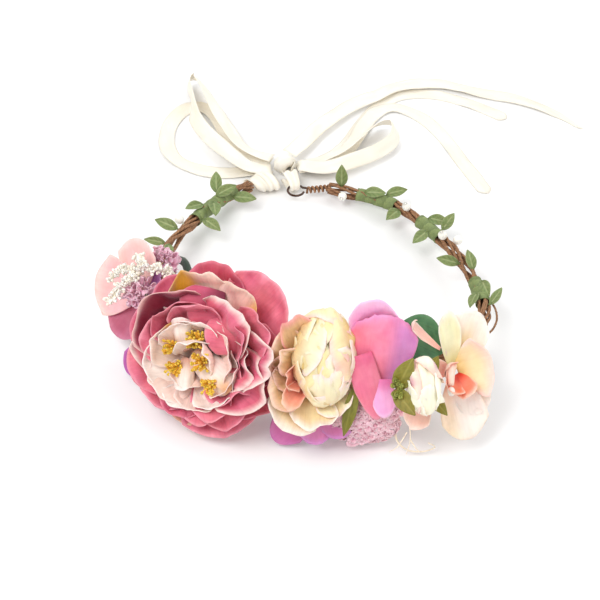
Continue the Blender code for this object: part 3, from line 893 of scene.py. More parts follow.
EXTRA_LEAVES = [
    (0.070, (0.2, -0.2, 1), (0.2, -0.9, 0.1), (0.3, -0.4, 1), 15, 7.5),
    (0.058, (0, 0.3, 1), (0.7, 0.55, 0.15), (0, -0.6, 1), 14, 7),
    (0.082, (-0.4, 0.1, 1), (-0.6, -0.6, 0.2), (-0.2, -0.5, 1), 13, 6.5),
    (0.172, (0, -0.3, 1), (0.1, -1, 0.1), (0.3, -0.5, 1), 11, 5.5),
    (0.955, (0, -0.4, 1), (0.95, -0.15, 0.2), (0, -0.7, 1), 13, 7),
    (0.930, (0.2, 0.4, 1), (0.9, 0.3, 0.15), (0, -0.6, 1), 13, 6.5),
    (0.865, (0.4, 0.3, 1), (0.85, -0.4, 0.2), (0, -0.6, 1), 14, 7),
    (0.842, (0.8, 0.4, 0.6), (0.45, 0.6, 0.5), (0, -0.7, 1), 12, 6.5),
    (0.735, (0.5, 0, 1), (0.25, -0.95, 0.1), (-0.4, -0.3, 1), 14, 6.5),
    (0.715, (-0.7, 0, 0.8), (-0.3, -0.95, 0), (-0.6, -0.4, 1), 13, 6),
    (0.700, (0.9, 0, 0.5), (0.5, 0.75, 0.4), (0.2, -0.7, 1), 12, 5),
]


def add_leaf(piece, row, seed):
    place, side, growth, facing, length, width = row
    base = beside_vine(place, side)
    tip = base + Vector(growth).normalized() * length
    stem = vine_frame(place)[0].lerp(base, 0.75)
    tube(piece, [stem, base, base.lerp(tip, 0.12)], 0.45, colour("#6F7F48"), sides=6)
    leaf(piece, base, tip, facing, width, seed=seed)


def make_leaves():
    for number, row in enumerate(VINE_LEAVES, start=1):
        name = f"vine_leaf_{number:02d}"
        piece = Piece(name + "_cloth")
        add_leaf(piece, row, number)
        piece.make(LEAF, name, "sage_leaf", thickness=0.25)
    piece = Piece("small_vine_leaves")
    for number, row in enumerate(EXTRA_LEAVES, start=20):
        add_leaf(piece, row, number)
    piece.make(LEAF, None, "sage_leaf", thickness=0.25)


# Each berry: place on the vine and side.
BERRIES = [
    (0.122, (-0.8, 0.2, 0.6)), (0.980, (0, -1, 0.2)),
    (0.895, (0, -0.5, 1)), (0.815, (0.8, 0.2, 0.6)),
]
EXTRA_BERRIES = [(0.825, (-0.2, -0.3, 1))]


def make_berries():
    for number, (place, side) in enumerate(BERRIES + EXTRA_BERRIES, start=1):
        root = beside_vine(place, side)
        outward = (root - vine_frame(place)[0]).normalized()
        piece = Piece(f"white_berry_{number}")
        middle = root + outward * 2.9
        tube(piece, [root - outward * 1.5, middle - outward * 2.3], 0.4, colour("#C9CDB0"), sides=6)
        white = colour("#F7F5EC")
        bead(piece, middle, outward, 2.7, 6.0, white, sides=14, rows=9, dimple=0.12, seed=number)
        stands_for = f"berry_{number}" if number <= len(BERRIES) else None
        piece.make(PEARL, stands_for, "berry")


# --- peony -----------------------------------------------------------------------

# These rose colours are lit and shaded copies of one rose cloth: the deep one is painted shade
# inside the cup, the bright one is painted light, and their dark roots are painted shade of the
# bowl's depth.
ROSE_PINK = shade("#8E3550", "#DF7489", "#EE9AA8", rim_from=0.93, root_to=0.75)
DEEP_SHADED_ROSE = shade("#762A42", "#CE5F76", "#E28899", rim_from=0.94, root_to=0.8)
SHADOW_ROSE = shade("#7A2C44", "#BE4E68", "#D8788C", rim_from=0.92, root_to=0.6)
LIT_ROSE = shade("#A8455C", "#E3778C", "#EE9AA8", rim_from=0.93, root_to=0.6)
LOW_ROSE = shade(
    "#A0445C", "#DC6F86", "#EBB49A", rim_from=0.88, stains=[("#EFC9A4", 0.0, 1.0, 0.5, 0.6)],
)
# A dark petal with a pale rim: painted shadow inside the cupped petal.
CUP_SHADOW_ROSE = shade("#5A1830", "#983650", "#E6B9B4", rim_from=0.88, root_to=0.9)
BLUSH_RIMMED = shade("#7E2E48", "#D8687F", "#F6DAD2", rim_from=0.86, root_to=0.7)
# A darker copy of the pale blush for the lower core petals: painted shade.
SHADED_BLUSH = shade("#C98F82", "#F0CFC3", "#F8E2D9", rim_from=0.9, root_to=0.62)
PALE_BLUSH = shade("#D8A696", "#F8E4DA", "#FCEEE8", rim_from=0.9, root_to=0.55)
WARM_LEFT = shade(
    "#D8A894", "#F2D6C8", "#F7E2D8", rim_from=0.88, stains=[("#E3A849", 0.75, 0.8, 0.5, 0.95)],
)
WARM_TIP = shade(
    "#E6BAA6", "#F8E2D8", "#F5DDD0", rim_from=0.88, stains=[("#EFA965", 0.1, 1.0, 0.42, 0.7)],
)
PEACH_MUSTARD = shade(
    "#D8887C", "#F0C3B4", "#F5DACA", rim_from=0.88, stains=[("#DD9F33", -0.5, 0.72, 0.7, 1.0)],
)
MUSTARD_EDGE = shade(
    "#D8887C", "#EEC0B4", "#F4D5C2", rim_from=0.88, stains=[("#E3A640", 0.85, 0.75, 0.55, 1.0)],
)

PEONY_FRAME = axis_frame(Vector((-53, -70, 41)), (-0.25, -0.72, 0.62), 18)
BOWL_FACING = (0.1, 0.1, 1)
CORE_FRAME = PEONY_FRAME @ Matrix.Translation((-1.5, -4.5, 1.0))

# Each ring petal: angle, radius and height of its root, lean, length, width, colours, SHAPE.
PEONY_GUARD = [
    (40, 8, -14, 80, 46, 42, LIT_ROSE, 14, 0, 14, 1.4, 1.3, 0.35),
    (84, 8, -15, 78, 40, 34, SHADOW_ROSE, 16, 0, 20, 2.2, 2.1),
    (120, 8, -14, 76, 37, 36, DEEP_SHADED_ROSE, 20, 0, 26, 2.7, 3.4),
    (158, 8, -14, 76, 37, 36, DEEP_SHADED_ROSE, 20, 0, 24, 3.0, 4.2),
    (196, 8, -14, 78, 37, 34, ROSE_PINK, 18, 0, 24, 3.5, 5.9),
    (226, 8, -14, 78, 34, 34, DEEP_SHADED_ROSE, 18, 0, 24, 3.2, 6.6),
    (254, 8, -15, 80, 34, 34, LOW_ROSE, 14, 0, 20, 3.0, 7.1),
    (288, 8, -14, 80, 39, 48, ROSE_PINK, 14, 0, 20, 2.2, 7.7),
    (322, 8, -14, 78, 40, 36, DEEP_SHADED_ROSE, 16, 0, 26, 3.2, 8.1),
    (356, 8, -13, 78, 37, 34, ROSE_PINK, 18, 0, 24, 3.2, 9.5),
]
PEONY_OUTER = [
    (92, 7, -11, 66, 41, 34, PEACH_MUSTARD, 14, 26, 26, 3.5, 1.9),
    (54, 7, -10, 66, 38, 30, MUSTARD_EDGE, 10, 0, 22, 3.0, 2.6),
    (134, 7, -11, 60, 44, 48, CUP_SHADOW_ROSE, 34, 24, 44, 3.5, 3.3),
    (166, 7, -11, 66, 37, 36, BLUSH_RIMMED, 24, 16, 34, 3.2, 4.8),
    (192, 7, -10, 70, 37, 36, LIT_ROSE, 18, 0, 30, 2.7, 5.2),
    (220, 7, -11, 72, 35, 34, ROSE_PINK, 16, 0, 28, 3.2, 6.1),
    (246, 7, -10, 72, 33, 30, DEEP_SHADED_ROSE, 16, 0, 28, 2.7, 7.4),
    (270, 7, -10, 72, 34, 30, LIT_ROSE, 16, 0, 28, 2.7, 7.9),
    (298, 7, -10, 72, 39, 34, ROSE_PINK, 16, 0, 30, 2.7, 8.8),
    (326, 7, -10, 66, 42, 38, BLUSH_RIMMED, 30, -36, 40, 5.7, 9.1),
    (352, 7, -10, 64, 43, 34, BLUSH_RIMMED, 30, -36, 40, 5.7, 0.9),
    (18, 7, -10, 66, 41, 32, LIT_ROSE, 20, 0, 36, 3.5, 0.4),
]
PEONY_MIDDLE = [
    (122, 7, -8, 54, 36, 34, DEEP_SHADED_ROSE, 34, 16, 42, 2.4, 1.1),
    (92, 6, -7, 52, 36, 30, LIT_ROSE, 36, 20, 40, 2.0, 2.1),
    (40, 6, -8, 52, 38, 38, BLUSH_RIMMED, 30, -46, 38, 4.0, 2.7),
    (156, 6, -8, 60, 34, 32, ROSE_PINK, 28, 12, 36, 2.0, 4.5),
    (12, 6, -8, 56, 35, 30, DEEP_SHADED_ROSE, 34, 0, 40, 2.4, 5.5),
    (340, 6, -7, 58, 35, 28, BLUSH_RIMMED, 30, -30, 44, 3.8, 6.5),
    (312, 6, -7, 62, 33, 26, ROSE_PINK, 24, 0, 34, 2.0, 7.2),
    (286, 7, -7, 68, 34, 26, ROSE_PINK, 20, 0, 40, 1.2, 6.3),
]
# Inner petals that fold over the bowl: base, tip, facing, width, colours, SHAPE.
PEONY_FOLDED = [
    ((26, 8, 4), (6, 11, 15), BOWL_FACING, 25, LIT_ROSE, -26, 0, -50, 0.5, 3.9, 0.75),
    ((13, 25, 5), (-8, 28, 14), BOWL_FACING, 15, DEEP_SHADED_ROSE, -20, 0, -44, 0.8, 2.9, 0.7),
    ((14, 18, 5), (-4, 20, 14), BOWL_FACING, 15, LIT_ROSE, -24, 0, -50, 0.6, 1.9, 0.7),
    ((32, -6, 2), (22, -18, 12), BOWL_FACING, 16, ROSE_PINK, -20, 0, -40, 1.0, 4.9, 0.7),
]
PEONY_CORE = [
    (150, 5, -6, 62, 29, 28, WARM_LEFT, 30, 26, 34, 1.6, 0.7),
    (184, 5, -6, 66, 28, 28, PALE_BLUSH, 24, 24, 30, 1.8, 1.6),
    (214, 5, -6, 68, 27, 28, SHADED_BLUSH, 22, 24, 30, 1.8, 2.9),
    (244, 5, -7, 68, 26, 30, PALE_BLUSH, 22, 24, 30, 1.8, 3.1),
    (276, 5, -7, 66, 27, 28, SHADED_BLUSH, 22, 24, 30, 2.0, 3.5),
    (306, 5, -6, 64, 30, 28, PALE_BLUSH, 24, 20, 32, 2.6, 3.8),
    (336, 5, -6, 60, 29, 28, SHADED_BLUSH, 28, 20, 34, 2.2, 3.9),
    (8, 5, -6, 56, 28, 28, SHADED_BLUSH, 32, 20, 34, 2.0, 4.1),
    (88, 5, -6, 56, 28, 26, PALE_BLUSH, 34, 20, 36, 1.8, 4.7),
    (120, 5, -6, 56, 28, 26, SHADED_BLUSH, 34, 20, 36, 1.8, 5.1),
    (104, 3, -6, 42, 24, 22, PALE_BLUSH, 50, 0, 44, 1.4, 5.8),
    (16, 3, -6, 40, 22, 22, SHADED_BLUSH, 50, 0, 44, 1.4, 6.4),
    (232, 3, -6, 54, 20, 22, SHADED_BLUSH, 34, 0, 40, 1.6, 6.9),
]
# Petals across the middle of the bowl, in the same columns.
CORE_FOLDED = [
    ((-3, 3, 3), (19, -11, 18), BOWL_FACING, 25, WARM_TIP, -34, 0, -84, 0.9, 5.8, 0.62),
    ((-6, 1, 3), (-6, -13, 14), BOWL_FACING, 15, PALE_BLUSH, -30, 0, -84, 1.0, 6.6, 0.6),
    ((-7, 4, 3), (-6, 19, 17), BOWL_FACING, 17, PALE_BLUSH, -30, 0, -90, 1.0, 7.6, 0.6),
    ((3, 9, 0), (14, 17, 9), BOWL_FACING, 15, SHADED_BLUSH, -10, 0, -40, 1.0, 8.3, 0.6),
]


def stamen_tuft(piece, centre, lean, count, reach, seed):
    """A tuft of short yellow threads with pollen beads at their ends."""
    rng = random.Random(seed)
    centre = Vector(centre)
    lean = Vector(lean).normalized()
    for _ in range(count):
        turn = Vector((rng.uniform(-1, 1), rng.uniform(-1, 1), rng.uniform(-0.3, 0.5)))
        start = centre + turn * 0.9
        end = centre + lean * reach * rng.uniform(0.5, 1.1) + turn * reach * 0.6
        middle = start.lerp(end, 0.5) + Vector((0, 0, 0.4))
        gold = colour("#FFE65C").lerp(colour("#FFBE3A"), rng.random())
        tube(piece, [start, middle, end], 0.32, gold, sides=5)
        bead(piece, end, end - start, 0.85, 2.0, gold, sides=6, rows=4, seed=turn.x)


# Each tuft: centre, lean, number of threads and reach.
STAMEN_TUFTS = [
    ((0, 9, 3), (0.1, 0.3, 1), 46, 7),
    ((4, -1, 6), (0.0, 0.1, 1), 46, 7),
    ((8, -11, 6), (0.1, -0.3, 1), 40, 6),
    ((-11, 6, 2), (-0.3, 0.1, 1), 30, 6),
    ((-10, -3, 3), (-0.3, -0.2, 1), 30, 6),
]


def make_peony():
    for name, frame_of, ring, folded, slot in (
        ("guard", PEONY_FRAME, PEONY_GUARD, [], "rose_pink_silk"),
        ("outer", PEONY_FRAME, PEONY_OUTER, [], "rose_pink_silk"),
        ("middle", PEONY_FRAME, PEONY_MIDDLE, PEONY_FOLDED, "rose_pink_silk"),
        ("core", CORE_FRAME, PEONY_CORE, CORE_FOLDED, "blush_silk"),
    ):
        piece = Piece(f"peony_{name}_cloth", frame_of)
        add_ring(piece, ring, cells=(22, 22), crinkle=2.0, narrow=0.5)
        add_straight(piece, folded, cells=(20, 20), crinkle=0.8)
        stands_for = "peony_inner_petals" if name == "core" else f"peony_{name}_petals"
        piece.make(PETAL, stands_for, slot, thickness=0.3)
    piece = Piece("peony_stamen_tufts", CORE_FRAME)
    for seed, tuft in enumerate(STAMEN_TUFTS, start=1):
        stamen_tuft(piece, *tuft, seed)
    piece.make(POLLEN, "peony_stamens", "yellow_stamen")


# --- rose ------------------------------------------------------------------------

ROSE_FRAME = axis_frame(Vector((6, -81, 46)), (0.10, -0.72, 0.68))
# The darker roots of the creams are painted shade in the creases of the rose.
CREAM = shade("#DDB66C", "#F1DDA6", "#F8EBCB", rim_from=0.85, root_to=0.8)
CREAM_BLUSH = shade(
    "#DFBA76", "#F3E0B0", "#F8D3C6", rim_from=0.75, root_to=0.8,
    stains=[("#F2B2A6", 0.5, 0.8, 0.5, 0.6)],
)
CREAM_PALE = shade("#E0C088", "#F4E4BE", "#F9DFD4", rim_from=0.78, root_to=0.8)
TAN_PEACH = shade("#C08040", "#EACB98", "#F7CDB8", rim_from=0.78, root_to=0.75)
CORAL_TIP = shade("#CE9450", "#EDC79C", "#F3A8A0", rim_from=0.76, root_to=0.7)
CORAL_FOLD = shade("#E0764E", "#F09C84", "#F7C2AE", rim_from=0.75)
PALE_HEM = shade("#DDB070", "#EED3A4", "#FBE9DC", rim_from=0.7)

ROSE_BALL = (13.5, 22.5, 14)
ROSE_CENTRE = (3, 7.5, 0)
ROSE_BALL_WRAPS = [
    (0, -40, 38, 62, CREAM_PALE, 1.6, 0.3), (75, -40, 44, 60, CREAM_BLUSH, 1.7, 1.4),
    (150, -40, 46, 58, CREAM, 1.8, 2.2), (215, -40, 36, 60, CREAM, 1.6, 3.6),
    (285, -40, 42, 62, CREAM_PALE, 1.7, 4.1), (330, -40, 50, 50, CREAM_PALE, 1.4, 4.9),
]
ROSE_HEART = [
    (40, -10, 66, 50, CREAM_BLUSH, 1.0, 5.7), (120, -10, 74, 46, CREAM, 1.1, 6.2),
    (195, -10, 66, 48, CREAM, 1.0, 7.8), (262, -10, 70, 48, CREAM_PALE, 1.1, 8.3),
    (318, -10, 74, 44, CREAM_PALE, 1.2, 9.9),
    (92, 0, 118, 46, CREAM, 0.0, 1.8), (200, 10, 100, 46, CREAM, 0.6, 2.4),
    (310, 10, 92, 46, CREAM_PALE, 1.1, 3.1), (20, 10, 84, 42, CREAM_BLUSH, 1.7, 4.9),
    (150, 10, 80, 40, CREAM_PALE, 2.1, 6.6),
]
ROSE_FANS = [
    (118, 9, -10, 58, 30, 22, CORAL_TIP, 24, -20, 44, 3.4, 1.2),
    (146, 9, -10, 60, 25, 24, TAN_PEACH, 26, -20, 44, 3.4, 2.3),
    (160, 8, -9, 50, 23, 18, TAN_PEACH, 30, -10, 50, 3.0, 2.9),
    (176, 9, -9, 56, 21, 24, TAN_PEACH, 30, -20, 44, 3.4, 3.2),
    (194, 8, -8, 46, 20, 16, CORAL_FOLD, 34, 0, 54, 2.2, 3.8),
    (206, 9, -10, 60, 25, 26, TAN_PEACH, 26, -20, 40, 3.4, 4.6),
    (222, 8, -8, 52, 26, 14, CORAL_FOLD, 22, 0, 60, 1.8, 4.9),
    (238, 9, -11, 68, 29, 30, PALE_HEM, 14, 0, 26, 2.6, 5.1),
    (264, 9, -10, 62, 25, 26, PALE_HEM, 22, 0, 34, 2.6, 6.4),
    (300, 9, -11, 60, 21, 22, CREAM_PALE, 26, 0, 34, 1.8, 7.5),
    (0, 9, -12, 54, 19, 24, CREAM_PALE, 30, 0, 34, 1.4, 8.6),
    (60, 9, -12, 56, 23, 24, CREAM_PALE, 26, 0, 34, 1.6, 9.3),
]


def make_rose():
    piece = Piece("rose_outer_cloth", ROSE_FRAME)
    add_ring(piece, ROSE_FANS, cells=(16, 16), crinkle=0.6)
    piece.make(PETAL, "rose_outer_petals", "peach_silk", thickness=0.3)
    for name, wraps, stands_for in (
        ("rose_ball_cloth", ROSE_BALL_WRAPS, "rose_middle_petals"),
        ("rose_heart_cloth", ROSE_HEART, "rose_heart"),
    ):
        piece = Piece(name, ROSE_FRAME)
        folds = dict(crumple=1.9, ruffle=0.55, flare=0.1, cells=(22, 22))
        add_wraps(piece, ROSE_CENTRE, ROSE_BALL, wraps, **folds)
        piece.make(SMOOTH_PETAL, stands_for, "cream_silk", thickness=0.3)
    calyx = Piece("rose_calyx_cloth", ROSE_FRAME)
    bead(calyx, (0, 0, -11), (0, 0, 1), 10.0, 9.0, colour("#6E7F4A"), sides=18, rows=10)
    calyx.make(TAPE, None, "sage_leaf")


# --- flowers at the left ---------------------------------------------------------

PALE_PINK = shade("#DC9A9A", "#EDB5B5", "#F5CBC6", rim_from=0.75)
PALE_PINK_WARM = shade("#E6BAA6", "#EFBAB4", "#F6D0CA", rim_from=0.75)
# Mauve of the lower orchid petals, matched to them in shade: partly their own mauve and partly
# painted shade.
SHADED_MAUVE_ROSE = shade("#883A56", "#B26078", "#C47890", rim_from=0.85)
PURPLE = shade("#7E3A80", "#9A4490", "#B768AC", rim_from=0.85)
VIOLET = shade("#9A5CA6", "#B87CC2", "#C998D0", rim_from=0.85)
HEATHER = shade("#D890AE", "#EDB2C8", "#F6CCDA", rim_from=0.6)

LEFT_FRAME = axis_frame(Vector((-93, -28, 35)), (-0.62, -0.62, 0.48), 30)


LEFT_ORCHID = [
    (86, 2, -2, 82, 28, 29, PALE_PINK_WARM, 8, 0, 18, 1.0, 1.5),
    (172, 2, -2, 84, 29, 34, PALE_PINK, 8, 0, 16, 1.0, 2.5),
    (236, 2, -5, 84, 27, 26, SHADED_MAUVE_ROSE, 14, 0, 20, 1.2, 3.5),
    (320, 2, -5, 84, 20, 20, SHADED_MAUVE_ROSE, 14, 0, 20, 1.2, 4.5),
    (40, 2, -5, 80, 20, 18, VIOLET, 14, 0, 20, 1.2, 5.5),
]
LEFT_VIOLET = [
    ((-80, -45, 19), (-93, -56, 1.5), (-0.5, -0.7, 0.5), 20, PURPLE, 12, 0, 22, 0.7, 1.0),
]


def make_left_flowers():
    piece = Piece("left_orchid_cloth", LEFT_FRAME)
    add_ring(piece, LEFT_ORCHID, cells=(16, 16), crinkle=0.5)
    piece.make(SMOOTH_PETAL, "left_orchid_petals", "pale_pink_silk", thickness=0.3)
    column = Piece("left_orchid_centre", LEFT_FRAME)
    bead(column, (0, 0, -1), (0, 0, 1), 2.6, 7, colour("#C46C90"), sides=12, rows=8)
    tube(column, [(0, 0, -14), (0, 0, -3)], 1.5, colour("#8B9A62"), sides=8)
    column.make(PEARL, "left_orchid_column", "mauve_silk")
    lower = Piece("left_violet_cloth")
    add_straight(lower, LEFT_VIOLET, crinkle=0.4)
    lower.make(SMOOTH_PETAL, "left_violet_petal", "violet_silk", thickness=0.3)
    make_heather()
    make_sprig()


# Each head of heather: centre, radius and number of florets.
HEATHER_HEADS = [((-82, -13, 46), 8.0, 90), ((-90, -38, 45), 9.5, 90)]


def make_heather():
    """Two fuzzy heads of small crumpled mauve florets."""
    rng = random.Random(7)
    draw = rng.uniform
    piece = Piece("heather_florets")
    for centre, radius, count in HEATHER_HEADS:
        for _ in range(count):
            out = Vector((rng.gauss(-0.1, 1), rng.gauss(-0.3, 1), rng.gauss(0.5, 1))).normalized()
            base = Vector(centre) + out * radius * draw(0.35, 0.75)
            along = (out + Vector((draw(-0.7, 0.7), draw(-0.7, 0.7), draw(-0.5, 0.7)))).normalized()
            facing = Vector((draw(-1, 1), draw(-1, 1), draw(-1, 1)))
            petal(
                piece, base, along, facing, draw(3.5, 5.0), draw(3, 4.5), HEATHER,
                bend=draw(-30, 60), cup=40, ruffle=1.4, seed=draw(0, 9), cells=(5, 5), crinkle=1.4,
            )
    piece.make(CRINKLED, "heather_cluster", "mauve_silk", thickness=0.25)


SPRAYS = [
    [(-73, -32, 56), (-82, -32, 58), (-88, -34, 59), (-91, -30, 60), (-93, -25, 60)],
    [(-88, -34, 59), (-95, -33, 57), (-101, -32, 55), (-105, -36, 52)],
    [(-90, -35, 57), (-98, -39, 52), (-102, -44, 49), (-105, -48, 46)],
]


def make_sprig():
    """Branched stems set with small cream buds."""
    rng = random.Random(11)
    draw = rng.uniform
    piece = Piece("cream_bud_sprays")
    for points in SPRAYS:
        stem = even_route(points, 26)
        tube(piece, stem, 0.5, colour("#F0E8CC"), sides=6)
        for step, at in enumerate(stem[2:], start=2):
            for _ in range(5):
                out = Vector((draw(-1, 1), draw(-1, 1), draw(-0.6, 1))).normalized()
                middle = at + out * draw(1.0, 3.4)
                tube(piece, [at, middle], 0.22, colour("#F8F0DE"), sides=5)
                cream = colour("#FFFCF6").lerp(colour("#FCF3E2"), rng.random())
                radius, length = draw(0.7, 1.05), draw(1.7, 2.6)
                bead(piece, middle, out, radius, length, cream, sides=7, rows=5, seed=step)
    piece.make(BUDS, "cream_sprig", "cream_silk")


# --- violet flower, hydrangea and bud --------------------------------------------

VIOLET_TOP = shade("#DF70A6", "#F4A0CE", "#FAC2E2", rim_from=0.7)
VIOLET_MIDDLE = shade("#E0607F", "#F0849F", "#E895C0", rim_from=0.88, side=("#CE84BC", 0.0, 0.6))
VIOLET_STRAP = shade("#D8668A", "#E87E98", "#F09AAE", rim_from=0.9)
VIOLET_LOW = shade("#E072A8", "#F6A8D6", "#FAC4E4", rim_from=0.85)
VIOLET_SIDE = shade("#B85890", "#E088BE", "#D690CC", rim_from=0.85)
# A darker copy of the side petal's colour for the petal lying underneath: painted shade.
VIOLET_SIDE_SHADED = shade("#A04C84", "#C0689E", "#C97CB0", rim_from=0.85)


# Each petal: base, tip, facing, width, colours, SHAPE; then what else sets a petal apart.
VIOLET_PETALS = {
    "upper": [
        ((33, -66, 48), (29, -60, 84), (0, -1, 0.3), 26, VIOLET_TOP, 14, 0, 26, 0.9, 1.2, 0.5),
        dict(crinkle=0.5, cells=(20, 20)),
    ],
    "middle": [
        ((36, -83, 37), (36, -70, 78), (0, -1, 0.5), 37, VIOLET_MIDDLE, -10, 0, -30, 1.2, 2.4, 0.3),
        dict(jag=0.035, crinkle=0.9, cells=(26, 24)),
    ],
    "lower": [
        (
            (25, -78, 58), (38.5, -97, 31), (0, -0.7, 0.7), 15, VIOLET_STRAP,
            -14, 0, -18, 0.5, 3.1, 0.9,
        ),
        dict(round_tip=0.2, point=0.45),
        ((39, -83, 48), (41, -97, 34), (0, -0.7, 0.7), 12, VIOLET_LOW, -22, 0, -34, 0.5, 4.2, 0.6),
        dict(),
    ],
    "side": [
        ((8, -80, 23), (-13, -91, 3), (0, -0.7, 0.7), 20, VIOLET_SIDE_SHADED, 10, 0, 16, 0.8, 5.3),
        dict(crinkle=0.4),
        ((8, -78, 28), (7, -97, 9), (0, -0.7, 0.7), 22, VIOLET_SIDE, 4, 0, -22, 0.8, 6.4),
        dict(jag=0.03, crinkle=0.5),
        ((12, -78, 28), (22, -95, 14), (0, -0.7, 0.7), 20, VIOLET_SIDE, 4, 0, -18, 0.9, 7.2),
        dict(jag=0.04, crinkle=0.5),
    ],
}


def make_violet():
    for name, rows in VIOLET_PETALS.items():
        piece = Piece(f"violet_{name}_cloth")
        for row, options in zip(rows[::2], rows[1::2]):
            add_straight(piece, [row], **options)
        piece.make(SMOOTH_PETAL, f"violet_{name}_petal", "violet_silk", thickness=0.3)


FLORET = shade("#DC90A6", "#F4BDC9", "#FAD4DB", rim_from=0.6)
HYDRANGEA_CENTRE, HYDRANGEA_RADII = Vector((29, -84, 16)), (22, 8.5, 14.5)
HYDRANGEA_FLORETS, HEM_FLORETS = 230, 44
HYDRANGEA_HEM = Vector((50, -86, 31)), Vector((30, -92, 8))


def add_floret(piece, centre, normal, rng):
    """A floret of four small crinkled petals."""
    side = normal.orthogonal().normalized()
    spin = rng.uniform(0, math.pi)
    for quarter in range(4):
        angle = spin + quarter * math.pi / 2
        along = side * math.cos(angle) + normal.cross(side) * math.sin(angle) + normal * 0.12
        petal(
            piece, centre, along, normal, rng.uniform(2.8, 3.8), rng.uniform(3.2, 4.4), FLORET,
            bend=-10, cup=14, ruffle=0.7, seed=rng.uniform(0, 9), cells=(4, 4), crinkle=0.4,
            narrow=0.4,
        )


def on_hydrangea(out, swell):
    """The place on the hydrangea's mound in a direction."""
    return HYDRANGEA_CENTRE + swell * Vector([o * r for o, r in zip(out, HYDRANGEA_RADII)])


def hydrangea_mound(piece, sides=40, bands=24):
    """The pressed cloth mound under the florets."""
    pink, dip_shade_pink = colour("#F0B6C4"), colour("#DD93A8")
    rows = []
    for j in range(1, bands):
        turn = math.pi * j / bands
        row = []
        for i in range(sides):
            around = 2 * math.pi * i / sides
            ring = math.sin(turn)
            out = Vector((ring * math.cos(around), ring * math.sin(around), math.cos(turn)))
            swell = 0.9 + 0.09 * wobble(5 * out.x, 5 * out.z, 5 * out.y)
            swell += 0.05 * wobble(13 * out.x, 13 * out.z, 9 * out.y)
            at = on_hydrangea(out, swell)
            at.z = max(at.z, 2.0)
            # Where the mound dips, the pink darkens: painted shade in the hollows.
            row.append((at, dip_shade_pink.lerp(pink, ease(swell, 0.84, 0.95)), (20 * around, 14 * turn)))
        rows.append(row)
    first = len(piece.points)
    piece.grid(rows, closed=True)
    last = len(piece.points) - sides
    for start, side in ((first, 1), (last, -1)):
        piece.fan((start, sides), on_hydrangea(UP * side, 0.85), pink)


def make_hydrangea():
    """A low mound of small crinkled florets on a pressed cloth base with a deckled edge."""
    rng = random.Random(21)
    piece = Piece("hydrangea_florets")
    hydrangea_mound(piece)
    golden_angle = math.pi * (3 - math.sqrt(5))
    for index in range(HYDRANGEA_FLORETS):
        height = 1 - 2 * (index + 0.5) / HYDRANGEA_FLORETS
        turn = index * golden_angle
        ring = math.sqrt(1 - height * height)
        out = Vector((ring * math.cos(turn), ring * math.sin(turn), height))
        at = on_hydrangea(out, 0.93)
        if out.y > 0.35 or at.z < 4.0:
            continue
        normal = Vector([o / r for o, r in zip(out, HYDRANGEA_RADII)]).normalized()
        add_floret(piece, at, normal, rng)
        if index % 4 == 0:
            bead(piece, at + normal * 0.6, normal, 0.4, 0.8, colour("#C4708A"), sides=5, rows=3)
    first, last = HYDRANGEA_HEM
    for index in range(HEM_FLORETS):
        at = first.lerp(last, index / (HEM_FLORETS - 1))
        at += Vector((rng.uniform(-4, 1.5), rng.uniform(-0.5, 1.5), rng.uniform(-2, 3)))
        add_floret(piece, at, Vector((0.25, -1, 0.35)).normalized(), rng)
    piece.make(FLECKED, "hydrangea_cluster", "mauve_silk", thickness=0.25)


BUD_CREAM = shade("#F2E0AE", "#F9F0D6", "#FBF3E2", rim_from=0.8)
BUD_PINK = shade(
    "#F2E0AE", "#F9EFD8", "#F5C9BC", rim_from=0.7, stains=[("#D98AA6", 0.2, 0.55, 0.4, 0.75)],
)
OLIVE = dict(green="#8A8236", dark="#6C6A2C", pale="#A9A056", fold=0.1)


BUD_FRAME = axis_frame(Vector((58.5, -89, 52)), (0.2, -0.7, 0.7))
BUD_WRAPS = [
    (90, -40, 120, 52, BUD_CREAM, -0.2, 1.1), (0, -40, 70, 60, BUD_CREAM, 0.4, 2.2),
    (180, -40, 66, 60, BUD_PINK, 0.5, 3.3), (270, -40, 96, 52, BUD_CREAM, 0.8, 4.4),
    (60, -40, 60, 56, BUD_PINK, 1.0, 5.5), (215, -40, 50, 50, BUD_CREAM, 1.2, 6.5),
]
# Each sepal: base, tip, facing and width.
BUD_SEPALS = [
    ((-13, 0, -4), (-6, 15, 5), (-0.5, 0, 1), 10), ((-14, 0, -4), (-7, -13, 4), (-0.5, 0, 1), 9),
    ((4, -4, -10), (12, -16, -6), (0, 0, 1), 7), ((4, 4, -10), (10, 14, -6), (0, 0, 1), 7),
]


def make_bud():
    piece = Piece("flower_bud_cloth", BUD_FRAME)
    add_wraps(piece, (0, 0.5, 0), (7.8, 13, 8.5), BUD_WRAPS, ruffle=0.9, crumple=1.2)
    piece.make(SMOOTH_PETAL, "flower_bud", "cream_silk", thickness=0.3)
    sepals = Piece("bud_sepal_cloth", BUD_FRAME)
    for seed, sepal in enumerate(BUD_SEPALS, start=1):
        leaf(sepals, *sepal, seed=seed, **OLIVE)
    tube(sepals, [(-2, 0, -14), (-3, 0, -7)], 2.0, colour("#8A8236"), sides=8)
    sepals.make(LEAF, "bud_sepals", "sage_leaf", thickness=0.25)
    rng = random.Random(5)
    pips = Piece("green_pip_cluster", BUD_FRAME)
    for _ in range(16):
        at = Vector((-13 + rng.uniform(-2.6, 1.6), rng.uniform(-4, 5), -1 + rng.uniform(-1.5, 1.5)))
        green = colour("#A3A84E").lerp(colour("#7F8638"), rng.random())
        bead(pips, at, (0, 0, 1), 1.4, 2.8, green, sides=10, rows=6)
    pips.make(BUDS, None, "sage_leaf")


# --- peach orchid and greenery ---------------------------------------------------

